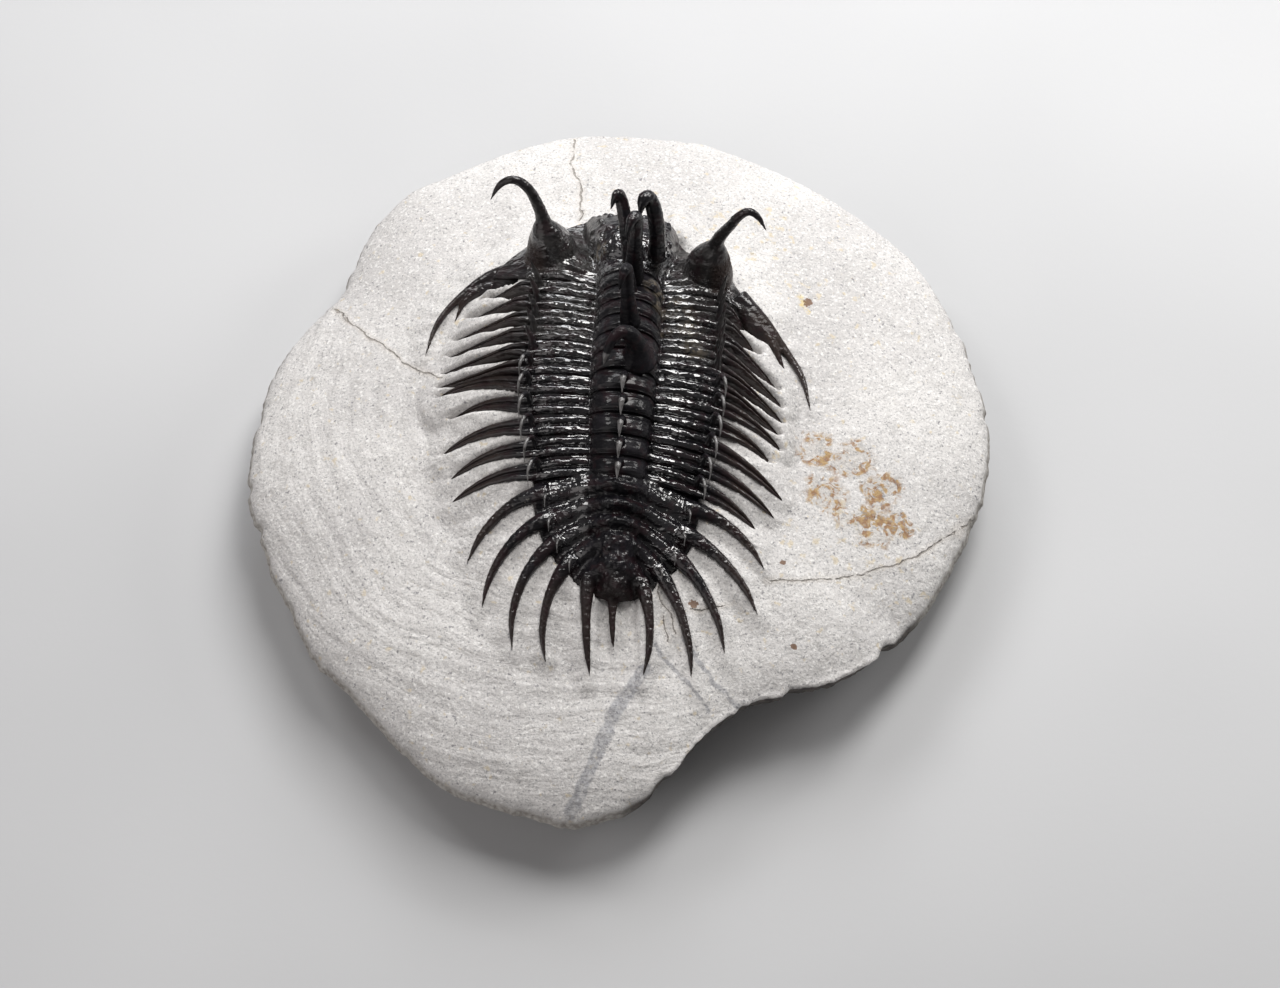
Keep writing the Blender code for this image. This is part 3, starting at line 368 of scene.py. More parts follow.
# Spots: x, y and radius
RUST_SPOTS = (
    (30.0, -0.5, 4.4), (35.5, -1.8, 4.6), (31.8, -7.6, 4.4), (40.2, -6.0, 4.2), (38.6, -11.8, 4.4),
    (42.8, -11.0, 3.0), (34.8, -11.5, 2.8),
)
BROWN_SPOTS = ((27.7, 25.6, 1.1), (13.0, -27.6, 0.95), (25.8, -19.3, 0.75), (28.0, -31.9, 0.8))
FLECK_SPOTS = ((19.0, 38.0, 9.0), (26.0, 30.0, 7.0), (10.0, 40.0, 6.0), (31.0, -14.0, 9.0), (40.0, -20.0, 8.0))
YELLOW_SPOTS = ((26.9, 25.7, 1.3), (27.9, 24.6, 0.9))
DUST_SPOTS = (
    (4.0, 19.6, 2.2), (8.0, 18.0, 3.4), (9.5, 14.5, 2.8), (-5.0, 27.2, 1.8), (6.0, 13.0, 1.6), (5.2, 16.6, 1.9),
    (10.5, 10.5, 2.6),
)
TOOL_CENTRE = (-6.0, 4.0, 0.0)
BREAK_PLACE = (30.0, -46.0, 0.0)
AXIS_PLACE = 0.9
EYES = (((-12.8, 27.7, 26.6), -1.0), ((11.9, 26.8, 25.2), 1.0))
CALM_PLACE = (22.3, 17.2, 0.0)

# Lamps: name, place in millimetres, size in metres, watts and tint
LAMPS = (
    ("key", (95.0, 190.0, 355.0), (0.125, 0.28), 1.4, (1.0, 0.985, 0.965)),
    ("back", (-20.0, 330.0, 235.0), (0.18, 0.14), 0.6, (0.97, 0.98, 1.0)),
    ("left", (-200.0, 165.0, 310.0), (0.11, 0.13), 0.36, (1.0, 0.985, 0.97)),
    ("right", (300.0, 170.0, 190.0), (0.13, 0.12), 0.36, (1.0, 0.99, 0.97)),
    ("front", (-260.0, -260.0, 230.0), (0.42, 0.42), 0.5, (1.0, 0.955, 0.945)),
)
LAMP_TARGET = (0.0, 0.0, 20.0)
FLOOR_HALF = 0.9
CAMERA_TARGET = (3.49, -5.85, 11.0)
CAMERA_AWAY = 400.0
CAMERA_TURN = radians(4.0)
CAMERA_RISE = radians(64.0)


def smooth(amount):
    amount = min(max(amount, 0.0), 1.0)
    return amount * amount * (3.0 - 2.0 * amount)


def bell(at, middle, width):
    return exp(-((at - middle) / width) ** 2)


def read_curve(pairs, at):
    """Straight-line reading of a short list of (place, value) pairs."""
    if at <= pairs[0][0]:
        return pairs[0][1]
    for (x0, v0), (x1, v1) in zip(pairs, pairs[1:]):
        if at <= x1:
            return v0 + (v1 - v0) * (at - x0) / (x1 - x0)
    return pairs[-1][1]


def read_smooth(pairs, at):
    """Reading of a short list of (place, value) pairs along a smooth curve through them."""
    last = len(pairs) - 1
    if at <= pairs[0][0]:
        return pairs[0][1]
    if at >= pairs[last][0]:
        return pairs[last][1]
    k = 0
    while at > pairs[k + 1][0]:
        k += 1
    x1, v1 = pairs[k]
    x2, v2 = pairs[k + 1]
    x0, v0 = pairs[k - 1] if k > 0 else (2.0 * x1 - x2, 2.0 * v1 - v2)
    x3, v3 = pairs[k + 2] if k + 2 <= last else (2.0 * x2 - x1, 2.0 * v2 - v1)
    span = x2 - x1
    m1 = (v2 - v0) / (x2 - x0) * span
    m2 = (v3 - v1) / (x3 - x1) * span
    t = (at - x1) / span
    return (
        (2.0 * t ** 3 - 3.0 * t ** 2 + 1.0) * v1 + (t ** 3 - 2.0 * t ** 2 + t) * m1
        + (3.0 * t ** 2 - 2.0 * t ** 3) * v2 + (t ** 3 - t ** 2) * m2
    )


def catmull(p0, p1, p2, p3, t):
    """Catmull-Rom curve from p1 to p2."""
    return 0.5 * (
        p1 * 2.0
        + (p2 - p0) * t
        + (p0 * 2.0 - p1 * 5.0 + p2 * 4.0 - p3) * t * t
        + (p1 * 3.0 - p0 - p2 * 3.0 + p3) * t * t * t
    )


def spline_point(points, at):
    """Point of a smooth curve through points, at from 0 to 1."""
    last = len(points) - 1
    at = min(max(at, 0.0), 1.0) * last
    k = min(int(at), last - 1)
    p1, p2 = points[k], points[k + 1]
    p0 = points[k - 1] if k > 0 else p1 * 2.0 - p2
    p3 = points[k + 2] if k + 2 <= last else p2 * 2.0 - p1
    return catmull(p0, p1, p2, p3, at - k)


def loop_point(points, at):
    """Point of a smooth closed curve through points, at counted in points."""
    k = int(at)
    return catmull(*(points[(k + step) % len(points)] for step in (-1, 0, 1, 2)), at - k)


def closed_curve(points, count):
    return [loop_point(points, k * len(points) / count) for k in range(count)]


def bent_line(start, bend, end, t):
    return start * (1.0 - t) ** 2 + bend * 2.0 * t * (1.0 - t) + end * t * t


def outline_radius(angle):
    """Radius of the slab's rim at an angle in degrees."""
    return loop_point(OUTLINE_RADII, angle % 360.0 / (360.0 / len(OUTLINE_RADII)))


def in_break(angle):
    """One in the middle of the broken edge, fading to zero at its ends."""
    return smooth((angle - BREAK_FROM) / BREAK_FADE) * smooth((BREAK_TO - angle) / BREAK_FADE)


def course_stations():
    """Course points from tail to head: (y, z, pitch) at the middle of each piece, tail first."""
    y, z = TAIL_Y, TAIL_Z
    stations = []
    for length, angle in [(TAIL_LENGTH, TAIL_PITCH)] + [(SEGMENT_PITCH, a) for a in reversed(SEGMENT_ANGLES)]:
        pitch = radians(angle)
        dy, dz = length * cos(pitch), length * sin(pitch)
        stations.append((y + dy / 2.0, z + dz / 2.0, pitch))
        y, z = y + dy, z + dz
    return stations


STATIONS = course_stations()
COURSE = [(TAIL_Y, TAIL_Z)] + [(y, z) for y, z, _ in STATIONS] + list(HEAD_FURROW)
TAIL_RADIANS = radians(TAIL_PITCH)
TAIL_STATION = (
    TAIL_Y + TAIL_LENGTH * cos(TAIL_RADIANS) - GAP / 2.0, TAIL_Z + TAIL_LENGTH * sin(TAIL_RADIANS),
    TAIL_RADIANS,
)


def segment_station(number):
    return STATIONS[SEGMENT_COUNT + 1 - number]


def axis_x(y):
    """Sideways place of the body's middle line."""
    bend = max(0.0, (TAIL_BEND_FROM - y) / (TAIL_BEND_FROM - TAIL_Y))
    return TAIL_BEND * bend ** TAIL_BEND_POWER


def off_axis(x, y):
    return abs(x - axis_x(y))


def place(x, y, z):
    """Carries a point from the upright body to where the rolled body lies."""
    up = z - ROLL_HEIGHT
    return Vector((
        axis_x(y) + x * cos(ROLL) + up * sin(ROLL),
        y,
        ROLL_HEIGHT + up * cos(ROLL) - x * sin(ROLL),
    ))


def pitched(station, x, along, up):
    """Point of a piece, given along and up from its station on the course."""
    y, z, pitch = station
    ahead, level = cos(pitch), sin(pitch)
    return place(x, y + along * ahead - up * level, z + along * level + up * ahead)


def dome_height(x, y):
    """Top of the bare slab, without the bed under the fossil."""
    angle = degrees(atan2(y, x)) % 360.0
    share = min(hypot(x, y) / outline_radius(angle), 1.0)
    rim = RIM_HEIGHT + BREAK_RIM_RISE * in_break(angle)
    return rim + (DOME_HEIGHT - rim) * (1.0 - share ** DOME_FLATNESS) ** DOME_SHOULDER


def rock_height(x, y):
    """Top of the rock with the bed that carries the fossil."""
    side = x - axis_x(y)
    beyond = hypot(
        max(0.0, abs(side) - read_curve(BED_HALF, y)),
        max(0.0, BED_HALF[0][0] - y, y - BED_HALF[-1][0]),
    )
    raised = 1.0 - smooth(beyond / read_curve(BED_SLOPE, y))
    bed = read_curve(COURSE, y) - BED_DEPTH - side * tan(ROLL)
    dome = dome_height(x, y)
    return dome + max(0.0, bed - dome) * raised


def arch(share):
    """Height of a lobe, one on its middle line and zero at its furrow, share 0 to 1."""
    return (1.0 - min(share, 1.0) ** ARCH_FLATNESS) ** ARCH_SHOULDER


def ripple(x, y, z, seed):
    """Smooth noise between about -1 and 1 at a point given in lump sizes."""
    return noise.noise(Vector((x + seed * 17.3, y - seed * 5.1, z + seed * 9.7)))


def lumps(p, layers):
    """Sum of noises at a point: amount, frequency along x, frequency across it and seed of each."""
    return sum(amount * ripple(p.x * f, p.y * g, p.z * g, seed) for amount, f, g, seed in layers)


# Kinds of shell, in the order of a piece's materials; the pale kind stands partly for worn tips and partly for
# their highlights (painted highlight)
GLOSSY, SATIN, PALE = range(3)


class Skin:
    """Points in millimetres and faces of one piece while it is being made."""

    def __init__(self, mesh=None):
        self.points, self.faces, self.kinds = [], [], []
        self.kind = GLOSSY
        if mesh is not None:
            self.take(mesh)

    def face(self, corners):
        self.faces.append(corners)
        self.kinds.append(self.kind)

    def add(self, places):
        first = len(self.points)
        self.points.extend(places)
        return list(range(first, first + len(places)))

    def bridge(self, ring_a, ring_b, closed=True):
        count = len(ring_a)
        for k in range(count if closed else count - 1):
            after = (k + 1) % count
            self.face((ring_a[k], ring_a[after], ring_b[after], ring_b[k]))

    def fan(self, ring, tip=None):
        """Closes a ring with triangles to a tip, or to its own middle."""
        if tip is None:
            tip = sum((self.points[i] for i in ring), Vector()) / len(ring)
        middle = self.add([tip])[0]
        for k in range(len(ring)):
            self.face((ring[k], ring[(k + 1) % len(ring)], middle))

    def sheet(self, lines):
        """Joins lines of points to a sheet and gives the loop of its rim."""
        rows = [self.add(line) for line in lines]
        for row_a, row_b in zip(rows, rows[1:]):
            self.bridge(row_a, row_b, False)
        return rows[0] + [row[-1] for row in rows[1:]] + rows[-1][-2::-1] + [row[0] for row in rows[-2:0:-1]]

    def take(self, mesh):
        """Adds the faces of a mesh that is already in millimetres."""
        first = len(self.points)
        self.points.extend(v.co.copy() for v in mesh.vertices)
        self.faces.extend(tuple(first + i for i in face.vertices) for face in mesh.polygons)
        self.kinds.extend(face.material_index for face in mesh.polygons)

    def tube(self, points, radii, made, seed, thin=1.0, pale=1.0):
        """A tapering spine to its sharp tip, made as a tuple says and thinner sideways by thin.

        Beyond the share pale of its length it takes the paler kind of shell."""
        stations, sides, flare, flare_to, grain = made
        places = [Vector(p) for p in points]
        widths = [Vector((r, 0.0, 0.0)) for r in radii]
        rings = []
        across = None
        for k in range(stations):
            at = (k / stations) ** 0.92
            here = spline_point(places, at)
            along = (spline_point(places, min(at + 0.01, 1.0)) - spline_point(places, at - 0.01)).normalized()
            if across is None:
                across = along.orthogonal().normalized()
            across = (across - along * across.dot(along)).normalized()
            other = along.cross(across)
            radius = max(spline_point(widths, at).x, POINT_RADIUS)
            radius *= 1.0 + flare * max(0.0, 1.0 - at / flare_to) ** 2
            ring = []
            for j in range(sides):
                turn = 2.0 * pi * j / sides
                out = cos(turn) * across + sin(turn) * other
                out.x *= thin
                point = here + radius * out
                wobble = lumps(point, ((grain, 1.6, 1.6, seed), (grain * 0.5, 4.0, 4.0, seed + 1.0)))
                ring.append(point + out * wobble * min(1.0, radius / 0.6))
            rings.append(self.add(ring))
        kind = self.kind
        for k, (ring_a, ring_b) in enumerate(zip(rings, rings[1:])):
            self.kind = PALE if k > pale * stations else kind
            self.bridge(ring_a, ring_b)
        self.fan(rings[-1], places[-1])
        self.kind = kind
        self.fan(rings[0][::-1])

    def spine(self, way, made, seed, start=Vector(), swell=1.0, pale=1.0):
        """A tube along (x, y, z, radius) from a start."""
        self.tube([start + Vector(p[:3]) for p in way], [p[3] * swell for p in way], made, seed, 1.0, pale)

    def mesh(self, name):
        made = bpy.data.meshes.new(name)
        made.from_pydata(self.points, [], self.faces)
        made.polygons.foreach_set("material_index", self.kinds)
        work = bmesh.new()
        work.from_mesh(made)
        bmesh.ops.recalc_face_normals(work, faces=work.faces)
        work.to_mesh(made)
        work.free()
        return made


def linked(name, data):
    made = bpy.data.objects.new(name, data)
    bpy.context.scene.collection.objects.link(made)
    return made


def covered(skin, voxel, passes):
    """One closed mesh in millimetres round all the overlapping parts of a skin."""
    raw = linked("raw", skin.mesh("raw"))
    cover = raw.modifiers.new("cover", "REMESH")
    cover.mode = "VOXEL"
    cover.voxel_size = voxel
    ease = raw.modifiers.new("ease", "SMOOTH")
    ease.factor = 0.5
    ease.iterations = passes
    graph = bpy.context.evaluated_depsgraph_get()
    made = bpy.data.meshes.new_from_object(raw.evaluated_get(graph))
    bpy.data.objects.remove(raw, do_unlink=True)
    return made


def rows_of(mesh, what):
    """Places or normals of a mesh's points, a row for each."""
    rows = np.empty(len(mesh.vertices) * 3)
    mesh.vertices.foreach_get(what, rows)
    return rows.reshape(-1, 3)


def relief(mesh, amount):
    """Pushes the points of a mesh in millimetres along their normals and gives it as a skin."""
    places, normals = rows_of(mesh, "co"), rows_of(mesh, "normal")
    push = np.array([amount(Vector(p), Vector(n)) for p, n in zip(places, normals)])
    mesh.vertices.foreach_set("co", (places + normals * push[:, None]).ravel())
    mesh.update()
    return Skin(mesh)


def dress(name, skin, materials, node):
    """Turns a skin into a piece that stands for a node of the frame."""
    mesh = skin.mesh(name)
    mesh.vertices.foreach_set("co", (rows_of(mesh, "co") * MM).ravel())
    mesh.update()
    for material in materials:
        mesh.materials.append(material)
    mesh.shade_smooth()
    piece = linked(name, mesh)
    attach(piece, "root")
    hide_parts(node)


def cross_height(number, side):
    """Height of a segment's section over its furrows, at a distance from its middle line."""
    half_axis = AXIS_HALF[number - 1]
    if side < half_axis:
        return AXIS_HEIGHT[number - 1] * arch(side / half_axis)
    share = (side - half_axis) / (FULCRUM[number - 1] - half_axis)
    return PLEURA_ARCH * sin(pi * share) - FULCRUM_DROP * share * share


def fulcrum_forward(number, x):
    return (FULCRUM_FORWARD - FINE_STEP * (number - 1)) * (x / FULCRUM[number - 1]) ** 2


def lip_ring(number, x):
    """Section of the flange that reaches under the segment in front."""
    forward, height = fulcrum_forward(number, x), cross_height(number, abs(x))
    return [pitched(segment_station(number), x, along + forward, height + up) for along, up in LIP]


def body_ring(number, x, crinkle=0.0):
    """Points of one section of a segment, at sideways place x inside the fulcra."""
    side, half_axis = abs(x), AXIS_HALF[number - 1]
    height = cross_height(number, side)
    forward = fulcrum_forward(number, side)
    amount = smooth((side / half_axis - RING_SHARE) / FURROW_SHARE)
    rough = crinkle * (0.3 + 0.7 * amount)
    ring = []
    for k, (a, b) in enumerate(zip(FINE_RING, FINE_RIB)):
        along = a[0] + (b[0] - a[0]) * amount
        up = a[1] + (b[1] - a[1]) * amount
        level = height
        if k < TOP_POINTS:
            up += 1.2 * rough * ripple(x * 0.7, k * 0.8, number * 7.7, 1.0)
            up += 0.3 * rough * ripple(x * 2.4, k * 1.3, number * 7.7, 2.0)
            along += 0.9 * rough * ripple(x * 0.55, k * 0.5, number * 7.7, 3.0)
        elif side < half_axis:
            level = (1.0 - AXIS_HOLLOW) * height
        ring.append(pitched(segment_station(number), x, along + forward, level + up))
    return ring


def blade_ring(number, tip, root_ring, t):
    """Section of a side spine, t from 0 at the fulcrum to 1 at its tip, and that tip."""
    pitch = segment_station(number)[2]
    root = sum(root_ring, Vector()) / len(root_ring)
    end = root + (Vector((tip[0], tip[1], 0.0)) - root) * BLADE_REACH
    end.z = rock_height(end.x, end.y) + TIP_CLEARANCE
    outward = copysign(1.0, tip[0])
    bow, lift, shift, *curves = (FRONT_SIDES if number <= FRONT_BLADES else REAR_SIDES)[outward]
    width, thickness, rise = (read_smooth(tuple(zip(BLADE_PLACES, curve)), t) for curve in curves)
    bend = root.lerp(end, BLADE_MIDDLE) + Vector((0.0, bow, lift * (root.z - end.z)))
    here = bent_line(root, bend, end, t)
    along = ((bend - root) * (1.0 - t) + (end - bend) * t).normalized()
    forward = Vector((0.0, cos(pitch), sin(pitch)))
    wide = (forward - along * forward.dot(along)).normalized()
    up = along.cross(wide) * -outward
    if up.z < 0.0:
        up = -up
    here += wide * (shift * (1.0 - width) * (1.0 - t)) + Vector((0.0, 0.0, rise))
    ring = []
    for k, (s, h) in enumerate(FINE_RIB):
        rough = 0.0
        if k < TOP_POINTS:
            rough = 0.09 * (1.0 - t) * ripple(t * 18.0, k * 0.8, number * 3.3, outward)
        ring.append(here + wide * (s * width) + up * ((h + BLADE_CENTRE) * thickness + rough))
    blend = smooth(t / BLADE_BLEND)
    return [a.lerp(b, blend) for a, b in zip(root_ring, ring)], end


def taper(radius, count):
    return [radius * (1.0 - k / (count - 1)) ** 0.75 for k in range(count)]


def thorax_skin(number):
    """One thoracic segment with its side spines and the flange in front."""
    fulcrum = FULCRUM[number - 1]
    skin = Skin()
    sides, ends = [], []
    for tip in (LEFT_TIPS[number - 1], RIGHT_TIPS[number - 1]):
        root = body_ring(number, copysign(fulcrum, tip[0]), CRINKLE)
        side = []
        for k in range(1, BLADE_STATIONS):
            ring, end = blade_ring(number, tip, root, (k / BLADE_STATIONS) ** 0.95)
            side.append(closed_curve(ring, SECTION_POINTS))
        sides.append(side)
        ends.append(end)
    body = [
        closed_curve(body_ring(number, fulcrum * (2.0 * k / BODY_STATIONS - 1.0), CRINKLE), SECTION_POINTS)
        for k in range(BODY_STATIONS + 1)
    ]
    made = [skin.add(ring) for ring in sides[0][::-1] + body + sides[1]]
    satin_to = len(sides[0]) + 3
    for k, (ring_a, ring_b) in enumerate(zip(made, made[1:])):
        skin.kind = SATIN if k < satin_to or k > len(made) - satin_to else GLOSSY
        skin.bridge(ring_a, ring_b)
    skin.kind = SATIN
    skin.fan(made[0][::-1], ends[0])
    skin.fan(made[-1], ends[1])
    skin.kind = GLOSSY
    lips = [
        skin.add(closed_curve(lip_ring(number, fulcrum * (2.0 * k / LIP_STATIONS - 1.0)), LIP_POINTS))
        for k in range(LIP_STATIONS + 1)
    ]
    for ring_a, ring_b in zip(lips, lips[1:]):
        skin.bridge(ring_a, ring_b)
    skin.fan(lips[0][::-1])
    skin.fan(lips[-1])
    return skin


def segment_relief(number):
    def amount(p, n):
        plate = smooth((off_axis(p.x, p.y) - AXIS_HALF[number - 1] + 0.6) / 1.2)
        fine = lumps(p, ((0.06, 0.8, 2.4, number), (0.018, 3.0, 4.2, number + 0.5)))
        return fine * (0.35 + 0.65 * plate)
    return amount


def add_segment_spines(skin, number):
    crest = pitched(segment_station(number), 0.0, 0.0, AXIS_HEIGHT[number - 1])
    pale = PALE_FROM.get(min(number, 7), 1.0)
    skin.kind = SATIN
    skin.spine(AXIAL_SPINES.get(number, AXIAL_HOOK), AXIAL_TUBE, number, crest, 1.0, pale)
    for outward in (-1.0, 1.0):
        root = body_ring(number, outward * (FULCRUM[number - 1] - FULCRAL_INSET))[RIB_CREST]
        way = FINS[outward] if number <= FINNED else REAR_HOOK
        points = [root + Vector((outward * x, y, z)) for x, y, z in way]
        if number <= FINNED:
            skin.tube(points, taper(FIN_RADIUS, 4), FIN_TUBE, number + outward, FIN_THIN)
        else:
            skin.tube(points, taper(REAR_HOOK_RADIUS, 5), HOOK_TUBE, number + outward, 1.0, REAR_HOOK_PALE)


def pygidium_axis(row):
    """Share of the tail shield's half width that its axis takes at a row."""
    back = row / PYGIDIUM_ROWS
    edge_x = PYGIDIUM_HALF * cos(radians(90.0 * back))
    half_axis = PYGIDIUM_AXIS_HALF * (1.0 - PYGIDIUM_AXIS_TAPER * back)
    return half_axis / max(edge_x, half_axis / PYGIDIUM_AXIS_MOST)


def pygidium_point(row, share):
    """Point of the tail shield's surface: row 0 to PYGIDIUM_ROWS, share -1 (left) to 1 (right)."""
    back = row / PYGIDIUM_ROWS
    turn = radians(90.0 * (1.0 - back))
    edge_s = -PYGIDIUM_LENGTH * cos(turn)
    axis_s = -PYGIDIUM_AXIS_END * back
    side = abs(share)
    x = PYGIDIUM_HALF * sin(turn) * side
    s = axis_s + (edge_s - axis_s) * side * side - PYGIDIUM_SWEEP * (x / PYGIDIUM_HALF) ** 2
    h = -PYGIDIUM_DROOP * side ** PYGIDIUM_DROOP_POWER
    h += PYGIDIUM_AXIS_HEIGHT * (1.0 - PYGIDIUM_AXIS_FALL * back) * arch(side / pygidium_axis(row))
    s -= PYGIDIUM_LEAN * max(h, 0.0) * (1.0 - back)
    h -= RIB_HEIGHT * cos(pi * row) * (1.0 - RIB_FADE * side)
    return copysign(x, share), s, h


def tail_point(row, share):
    """The same with its ribs run on over the furrow, calmer ribs on the rear axis and a longer rear margin."""
    x, s, h = pygidium_point(row, share)
    back, side = row / PYGIDIUM_ROWS, abs(share)
    near = side / pygidium_axis(row)
    rise = PYGIDIUM_AXIS_HEIGHT * (1.0 - PYGIDIUM_AXIS_FALL * back)
    skirt = 0.5 * (1.0 - smooth((near - 0.8) / 1.1)) - 0.13 * bell(near, 1.12, 0.13)
    h += rise * (max(arch(near), skirt) - arch(near))
    rib = RIB_HEIGHT * (1.0 - RIB_FADE * side)
    h += rib * cos(pi * row)
    phase = row + 0.16 * ripple(x * 0.35, row * 0.2, 0.0, 60.0)
    crest = (0.5 - 0.5 * cos(pi * phase)) ** 0.95
    cleft = bell(abs(phase % 2.0 - 1.0), 0.1, 0.2) * smooth((near - 0.9) / 0.4)
    wave = (2.0 * crest - 1.1) * (1.6 + 0.4 * ripple(x * 0.5, row * 0.5, 0.0, 61.0)) - 0.75 * cleft
    wave *= 1.0 - 0.75 * smooth((row - 5.0) / 2.0) * smooth((1.15 - near) / 0.4)
    h += rib * (wave + 1.5 * smooth(1.0 - row / 0.8))
    s -= (FINE_SWEEP - PYGIDIUM_SWEEP) * (x / PYGIDIUM_HALF) ** 2 * smooth(1.3 - back)
    s -= REAR_REACH * smooth((back - 0.5) / 0.45)
    return x, s, h


def marginal_way(row, outward, tip, radius, most_turn=MARGIN_TURN):
    """Way points and radii of a spine from the tail shield's margin."""
    x, s, h = pygidium_point(row, MARGIN_ROOT * outward)
    root = pitched(TAIL_STATION, x, s, h - MARGIN_SINK)
    root.z = max(root.z, rock_height(root.x, root.y) + radius + TIP_CLEARANCE)
    end = root + (Vector((tip[0], tip[1], 0.0)) - root) * MARGIN_LONGER
    end.z = rock_height(end.x, end.y) + TIP_CLEARANCE
    turn = radians(most_turn * (1.0 - row / PYGIDIUM_ROWS))
    reach = BEND_REACH * hypot(end.x - root.x, end.y - root.y)
    bend = root + Vector((outward * sin(turn), -cos(turn), 0.0)) * reach
    bend.z = (root.z + end.z) / 2.0 + MARGIN_LIFT
    points = [bent_line(root, bend, end, t) for t in MARGIN_PLACES]
    radii = [radius * share for share in MARGIN_TAPER]
    for point, thick in zip(points[1:], radii[1:]):
        point.z = max(point.z, rock_height(point.x, point.y) + thick + TIP_CLEARANCE)
    return points, radii


def marginal_spines():
    ways = []
    for index, (row, left, right) in enumerate(MARGIN_SPINES):
        radius = MARGIN_RADIUS - MARGIN_STEP * index
        turn = STRAIGHT_TURN if row == STRAIGHT_ROW else MARGIN_TURN
        ways.append(marginal_way(row, -1.0, left, radius, turn))
        ways.append(marginal_way(row, 1.0, right, radius))
    return ways + [marginal_way(PYGIDIUM_ROWS, 1.0, MARGIN_MEDIAN_TIP, MEDIAN_RADIUS)]


def close_shield(skin, rim, joint_count, number, edge, middle):
    """Gives a shield its edge and underside."""
    lowered = []
    for k, index in enumerate(rim):
        point = skin.points[index]
        drop = edge
        side = off_axis(point.x, point.y)
        if k < joint_count and side < AXIS_HALF[number - 1]:
            drop += AXIS_HOLLOW * cross_height(number, side)
        lowered.append(point - Vector((0.0, 0.0, drop)))
    below = skin.add(lowered)
    skin.bridge(rim, below)
    skin.fan(below, middle)


def pygidium_skin():
    """Tail shield with the roots of its marginal spines."""
    skin = Skin()
    shares = [-1.0 + k / TAIL_COLUMNS for k in range(2 * TAIL_COLUMNS + 1)]
    lines = []
    for forward, lower in PYGIDIUM_LIP:
        front = [tail_point(0.0, f) for f in shares]
        lines.append([pitched(TAIL_STATION, x, s + forward, h - lower) for x, s, h in front])
    for k in range(TAIL_ROWS):
        lines.append([pitched(TAIL_STATION, *tail_point(k * PYGIDIUM_ROWS / TAIL_ROWS, f)) for f in shares])
    middle = pitched(TAIL_STATION, 0.0, -PYGIDIUM_LENGTH / 2.0, -PYGIDIUM_HOLLOW)
    close_shield(skin, skin.sheet(lines), len(shares), SEGMENT_COUNT, PYGIDIUM_EDGE, middle)
    for seed, (points, radii) in enumerate(marginal_spines()):
        skin.tube(points, radii, MARGIN_TUBE, seed)
    return skin


def add_rib_hooks(skin):
    skin.kind = GLOSSY
    for row in RIB_SPINE_ROWS:
        for outward in (-1.0, 1.0):
            x, s, h = tail_point(row, RIB_HOOK_SHARE * outward)
            points = [pitched(TAIL_STATION, x + 0.3 * outward * up, s + run, h + up) for run, up in RIB_HOOK]
            skin.tube(points, taper(RIB_HOOK_RADIUS, 4), RIB_TUBE, row, 1.0, RIB_HOOK_PALE)


def tubercle(p, size):
    """Rounded grains of about a size in millimetres: one on a grain's top and zero between grains."""
    return smooth(1.0 - noise.voronoi(p / size)[0][0] / 0.52)


def on_margin(p):
    """Whether a point of the tail lies beyond the shield, on a marginal spine."""
    back = (p.y + 12.5) / 17.0
    side = (p.x - axis_x(p.y)) / 12.4
    return back < 0.0 and back * back + side * side > 0.82


def pygidium_relief(p, n):
    grain = smooth((4.2 - off_axis(p.x, p.y)) / 1.5) * smooth((p.y + 29.0) / 2.0)
    return (lumps(p, TAIL_GRAIN) + 0.3 * grain * tubercle(p, 1.15)) * smooth((n.z + 0.3) / 0.5)


def head_height(x, y):
    """Top of the head shield, without eyes and spines, before the roll is added."""
    side = abs(x)
    furrow = read_smooth(HEAD_FURROW, y)
    half = read_smooth(GLABELLA_HALF, y)
    if side < half:
        return furrow + (read_smooth(GLABELLA_TOP, y) - furrow) * arch(side / half)
    cheek = furrow - FULCRUM_DROP * smooth((side - CHEEK_CREST) / (FULCRUM[0] - CHEEK_CREST))
    cheek -= CHEEK_FALL * max(0.0, side - FULCRUM[0]) ** 1.5
    return cheek + EYE_MOUND * smooth(1.0 - hypot(side - EYE_PLACE[0], y - EYE_PLACE[1]) / EYE_REACH)


def head_back(x):
    """Back margin of the head shield, in front of the first segment."""
    y, _, pitch = segment_station(1)
    side = min(abs(x), FULCRUM[0])
    along = RIB_FRONT + HEAD_GAP + FULCRUM_FORWARD * (side / FULCRUM[0]) ** 2
    return y + along * cos(pitch) - cross_height(1, side) * sin(pitch)


def head_plan(t, share):
    """Plan point of the head: t 0 at the back to 1 at the front, share -1 (left) to 1 (right)."""
    margin = CHEEKS[-1.0 if share < 0.0 else 1.0]
    corner = spline_point([Vector((x, y, 0.0)) for x, y in margin], t)
    front_y = HEAD_BACK + (HEAD_FRONT - HEAD_BACK) * t
    side = abs(share)
    x = corner.x * side
    straight = front_y + (corner.y - front_y) * side ** HEAD_CURVE
    back = head_back(x)
    if abs(x) > FULCRUM[0]:
        run = (abs(x) - FULCRUM[0]) / max(abs(corner.x) - FULCRUM[0], 0.01)
        back += (corner.y - back) * min(run, 1.0)
    return x, back + (straight - back) * smooth(t / HEAD_BACK_SHARE)


def back_folds(x, y):
    """Height of the folds along the back margin of the cheeks."""
    beside = smooth((abs(x) - 4.6) / 1.2) * smooth((FULCRUM[0] + 2.0 - abs(x)) / 3.0)
    run = y - head_back(x)
    return beside * sum(height * bell(run, middle, width) for height, middle, width in BACK_FOLDS)


